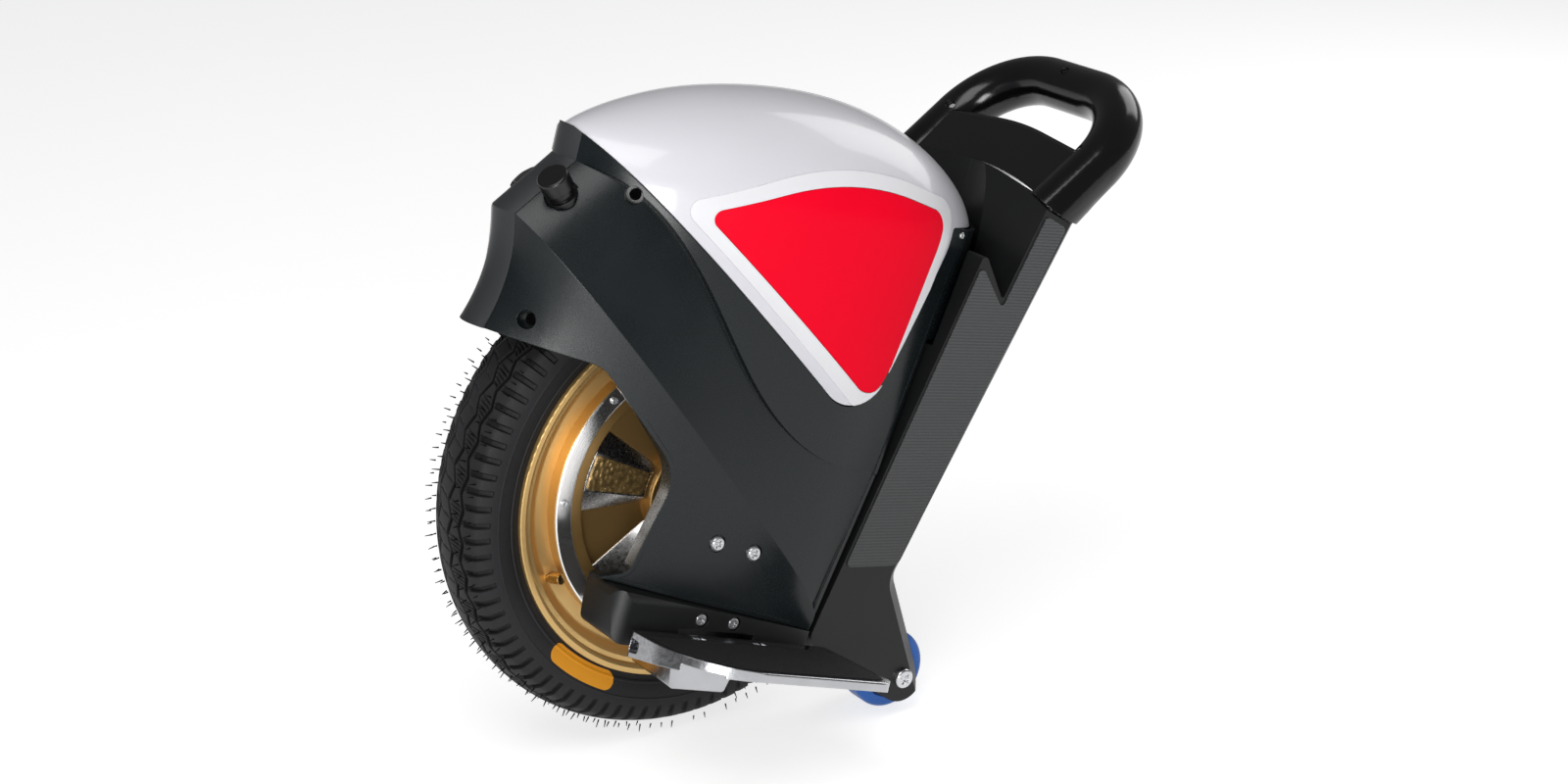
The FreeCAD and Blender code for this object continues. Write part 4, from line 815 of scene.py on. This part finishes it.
class UNICYCLE_OT_body(bpy.types.Operator):
    """Satin side shells with a top screw, dark nose strip, white dome and red panels"""

    bl_idname = "unicycle.body"
    bl_label = "Dress Body"

    def execute(self, context):
        colours = context.scene.unicycle_colours
        dress(plastic("shell_black", colours.shell, 0.26, 0.08, gloss=0.36), *sides("side_shell"), "collar")
        dress(plastic("mask_grey", colours.mask, 0.50, 0.16, gloss=0.35), "front_mask")
        dress(gloss_paint("dome_white", colours.dome), "dome_cover")
        # Painted highlight: the dome's band round the inset panels takes a brighter white.
        line = rounded(BORDER)
        border_highlight = gloss_paint("border_highlight_white", colours.border_highlight)
        also_dress("dome_cover", border_highlight, lambda x, z: encloses(line, x, z))
        dress(plastic("panel_red", colours.panel, 0.45, 0.03, 0.003, 0.08, 0.04, 0.02), *sides("dome_panel"))
        dress(plastic("port_black", colours.handle, 0.30, 0.10, gloss=0.5), "charge_socket", "charge_cap",
              "button_bezel", "power_button")
        head = metal("strip_screw", colours.steel, 0.25, 0.05, 0.002)
        add_mesh("strip_screws", screw_builder(*STRIP_SCREW), head, "chassis", smooth=False)
        return {"FINISHED"}


# Column, handle and rollers


# Heights in metres between which the woven film grows from painted shade at its foot to lit, and the slant of
# its threads.
WEAVE_LOW, WEAVE_HIGH = 0.12, 0.38
WEAVE_TURN = math.radians(33.0)


def weave_material(colours, pitch):
    """Woven-look film under a satin coat, with painted highlights along its threads and painted shade darkening
    it towards the foot of the column.
    """
    w = start_material("woven_panel", Specular_IOR_Level=0.45, Coat_Weight=0.25, Coat_Roughness=0.2)
    cloth = w.group(shared("weave"), Pitch=pitch, Turn=WEAVE_TURN)
    dark = [c * 0.16 for c in colours.weave]
    # Painted highlight: each thread is lit along its crown, those lying over more than those under.
    lit = w.math("MULTIPLY", cloth["Height"], w.spread(cloth["Over"], 0.0, 1.0, 0.35, 1.0))
    # Painted shade: the lit threads fade darker towards the foot of the column.
    parts = w.add("ShaderNodeSeparateXYZ")
    w.put(parts.inputs[0], w.place())
    lit = w.math("MULTIPLY", lit, w.spread(parts.outputs[2], WEAVE_LOW, WEAVE_HIGH, 0.2, 1.0))
    w.put(w.bsdf.inputs["Base Color"], w.mix(lit, dark, colours.weave))
    w.put(w.bsdf.inputs["Roughness"], w.spread(cloth["Over"], 0.0, 1.0, 0.46, 0.34))
    w.put(w.bsdf.inputs["Normal"], w.bump(cloth["Height"], 0.45, 0.0004))
    return w.material


class UNICYCLE_OT_column(bpy.types.Operator):
    """Rear column with woven panels, blue rollers and the pull handle"""

    bl_idname = "unicycle.column"
    bl_label = "Dress Column"

    def execute(self, context):
        colours, sizes = context.scene.unicycle_colours, context.scene.unicycle_sizes
        dress(plastic("column_black", colours.column, 0.40, 0.12, gloss=0.3), *sides("column"))
        dress(weave_material(colours, sizes.weave), *sides("column_panel"))
        dress(plastic("handle_black", colours.handle, 0.16, 0.06, gloss=0.45), "handle_front", "handle_rear")
        dress(plastic("roller_blue", colours.roller, 0.36, 0.12, gloss=0.5), *sides("roller"))
        steel = metal("bright_steel", colours.steel, 0.22, 0.10)
        dress(steel, "handle_tubes", "roller_bolts", "roller_bearings")
        dress(metal("zinc_head", [c * 1.3 for c in colours.steel], 0.34, 0.06, 0.002, 0.4), "handle_screws")
        dress(plastic("guide_grey", [0.05, 0.05, 0.055], 0.45, 0.1), "guide_tubes")
        return {"FINISHED"}


# Frame, pedals and what is inside


def in_hole(x, z):
    """Whether a place lies in one of the shells' screw holes."""
    return any(math.hypot(x - hole_x, z - hole_z) < HOLE_REACH for hole_x, hole_z in SHELL_HOLES)


def grip_material(size):
    """Black grip sheet with painted glints on a few grains."""
    w = start_material("grip_grit", Specular_IOR_Level=0.35, Roughness=0.78)
    grit = w.group(shared("grit"), Size=size)
    # Painted glints: the mask lightens a few grains of the dark grit.
    w.put(w.bsdf.inputs["Base Color"], w.mix(grit["Glints"], (0.012, 0.012, 0.0135), (0.075, 0.075, 0.08)))
    w.put(w.bsdf.inputs["Normal"], grit["Normal"])
    return w.material


class UNICYCLE_OT_pedals(bpy.types.Operator):
    """Cast pedals with grit grips, black hangers, brackets and screws"""

    bl_idname = "unicycle.pedals"
    bl_label = "Dress Pedals"

    def execute(self, context):
        colours, sizes = context.scene.unicycle_colours, context.scene.unicycle_sizes
        dress(metal("cast_silver", colours.cast, 0.20, 0.10, 0.0030), *sides("pedal", "pedal_bracket"))
        dress(grip_material(sizes.grit), *sides("pedal_pad"))
        dress(plastic("hanger_black", colours.column, 0.40, 0.14, gloss=0.42), *sides("hanger"))
        dress(metal("bright_screw", colours.steel, 0.20, 0.05, 0.002, 0.7), "frame_screws", "pedal_pins")
        black = plastic("black_screw", [0.002, 0.002, 0.002], 0.85, 0.08, gloss=0.05)
        also_dress("frame_screws", black, in_hole)
        return {"FINISHED"}


class UNICYCLE_OT_inside(bpy.types.Operator):
    """Frame legs, motor, batteries, mudguard and board, seen through the gaps"""

    bl_idname = "unicycle.inside"
    bl_label = "Dress Inside"

    def execute(self, context):
        colours = context.scene.unicycle_colours
        dress(plastic("inner_black", colours.column, 0.55, 0.2, gloss=0.3), "mudguard", *sides("battery"))
        dress(metal("frame_metal", [0.10, 0.10, 0.105], 0.42, 0.2), *sides("fork_leg"))
        dress(metal("axle_steel", colours.steel, 0.30, 0.1), "axle", "axle_nuts", "bearings", "stator_hub")
        dress(metal("core_steel", [0.30, 0.30, 0.31], 0.40, 0.15), "stator", "magnets")
        dress(metal("winding_copper", colours.copper, 0.32, 0.3), "windings")
        dress(metal("sink_metal", [0.52, 0.525, 0.53], 0.35, 0.1), "heat_sink")
        dress(plastic("board_green", colours.board, 0.35, 0.08), "control_board")
        dress(plastic("lead_black", colours.rubber, 0.5, 0.15), "motor_lead")
        return {"FINISHED"}


# Stage


# Lamps: size and place in metres.
LAMPS = {
    "key": ((1.6, 1.3), (-1.0, -0.7, 2.2)),
    "fill": ((1.2, 0.8), (-1.5, -2.2, 0.6)),
    "rear": ((1.2, 1.4), (2.0, 0.5, 1.5)),
}
FLOOR_HALF = 40.0
FLOOR_DROP = 0.0003


def aim(thing, place, target):
    """Put a lamp or a camera somewhere, looking at a target."""
    thing.location = place
    thing.rotation_euler = (target - Vector(place)).to_track_quat("-Z", "Y").to_euler()


def add_light(name, power, size, place, target):
    """Soft oblong lamp."""
    data = bpy.data.lights.new(name, "AREA")
    data.energy = power
    data.shape = "RECTANGLE"
    data.size, data.size_y = size
    lamp = bpy.data.objects.new(name, data)
    bpy.context.scene.collection.objects.link(lamp)
    aim(lamp, place, target)


class UNICYCLE_OT_stage(bpy.types.Operator):
    """Pale floor, soft lights and the camera"""

    bl_idname = "unicycle.stage"
    bl_label = "Set Stage"

    def execute(self, context):
        stage = context.scene.unicycle_stage
        shape = bmesh.new()
        bmesh.ops.create_grid(shape, x_segments=1, y_segments=1, size=FLOOR_HALF)
        data = bpy.data.meshes.new("floor")
        shape.to_mesh(data)
        shape.free()
        w = start_material("pale_floor", Roughness=0.7, Specular_IOR_Level=0.2)
        drift = w.noise(w.place(), 0.8, 2.0)
        w.put(w.bsdf.inputs["Base Color"], w.mix(drift, stage.floor, [c * 0.985 for c in stage.floor]))
        path = w.add("ShaderNodeLightPath").outputs
        seen = w.math("ADD", path["Is Camera Ray"], path["Is Glossy Ray"])
        seen = w.math("ADD", seen, path["Is Transmission Ray"], clamp=True)
        w.put(w.bsdf.inputs["Emission Color"], (1.0, 1.0, 1.0))
        w.put(w.bsdf.inputs["Emission Strength"], w.math("MULTIPLY", seen, stage.glow))
        data.materials.append(w.material)
        floor = bpy.data.objects.new("floor", data)
        context.scene.collection.objects.link(floor)
        floor.location.z = -FLOOR_DROP

        world = bpy.data.worlds.new("studio")
        world.use_nodes = True
        back = world.node_tree.nodes["Background"]
        back.inputs["Color"].default_value = (1.0, 1.0, 1.0, 1.0)
        back.inputs["Strength"].default_value = stage.world
        context.scene.world = world

        target = wheel_centre() + Vector(stage.target)
        powers = {"key": stage.key, "fill": stage.fill, "rear": stage.rear}
        for name, (size, place) in LAMPS.items():
            add_light(name, powers[name], size, place, target)

        camera = bpy.data.cameras.new("camera")
        camera.lens = stage.lens
        camera.sensor_width = 36.0
        camera.sensor_fit = "HORIZONTAL"
        eye = bpy.data.objects.new("camera", camera)
        context.scene.collection.objects.link(eye)
        level = math.cos(stage.elevation)
        east, north = math.sin(stage.azimuth) * level, -math.cos(stage.azimuth) * level
        away = Vector((east, north, math.sin(stage.elevation)))
        aim(eye, target + away * stage.distance, target)
        context.scene.camera = eye
        context.scene.view_settings.view_transform = "Standard"
        return {"FINISHED"}


class UNICYCLE_PT_looks(bpy.types.Panel):
    """Settings and steps in the sidebar"""

    bl_idname = "UNICYCLE_PT_looks"
    bl_label = "Electric Unicycle"
    bl_space_type = "VIEW_3D"
    bl_region_type = "UI"
    bl_category = "Unicycle"

    def draw(self, context):
        scene = context.scene
        for settings in (scene.unicycle_colours, scene.unicycle_sizes, scene.unicycle_stage):
            column = self.layout.column(align=True)
            for key in settings.__annotations__:
                column.prop(settings, key)
        for step in STEPS:
            self.layout.operator(step.bl_idname)


STEPS = (
    UNICYCLE_OT_wheel, UNICYCLE_OT_body, UNICYCLE_OT_column, UNICYCLE_OT_pedals, UNICYCLE_OT_inside,
    UNICYCLE_OT_stage,
)
CLASSES = (UnicycleColours, UnicycleSizes, UnicycleStage, *STEPS, UNICYCLE_PT_looks)


def register():
    for kind in CLASSES:
        bpy.utils.register_class(kind)
    bpy.types.Scene.unicycle_colours = PointerProperty(type=UnicycleColours)
    bpy.types.Scene.unicycle_sizes = PointerProperty(type=UnicycleSizes)
    bpy.types.Scene.unicycle_stage = PointerProperty(type=UnicycleStage)


def unregister():
    del bpy.types.Scene.unicycle_stage
    del bpy.types.Scene.unicycle_sizes
    del bpy.types.Scene.unicycle_colours
    for kind in reversed(CLASSES):
        bpy.utils.unregister_class(kind)


def main():
    register()
    bpy.ops.unicycle.wheel()
    bpy.ops.unicycle.body()
    bpy.ops.unicycle.column()
    bpy.ops.unicycle.pedals()
    bpy.ops.unicycle.inside()
    bpy.ops.unicycle.stage()


if __name__ == "__main__":
    main()
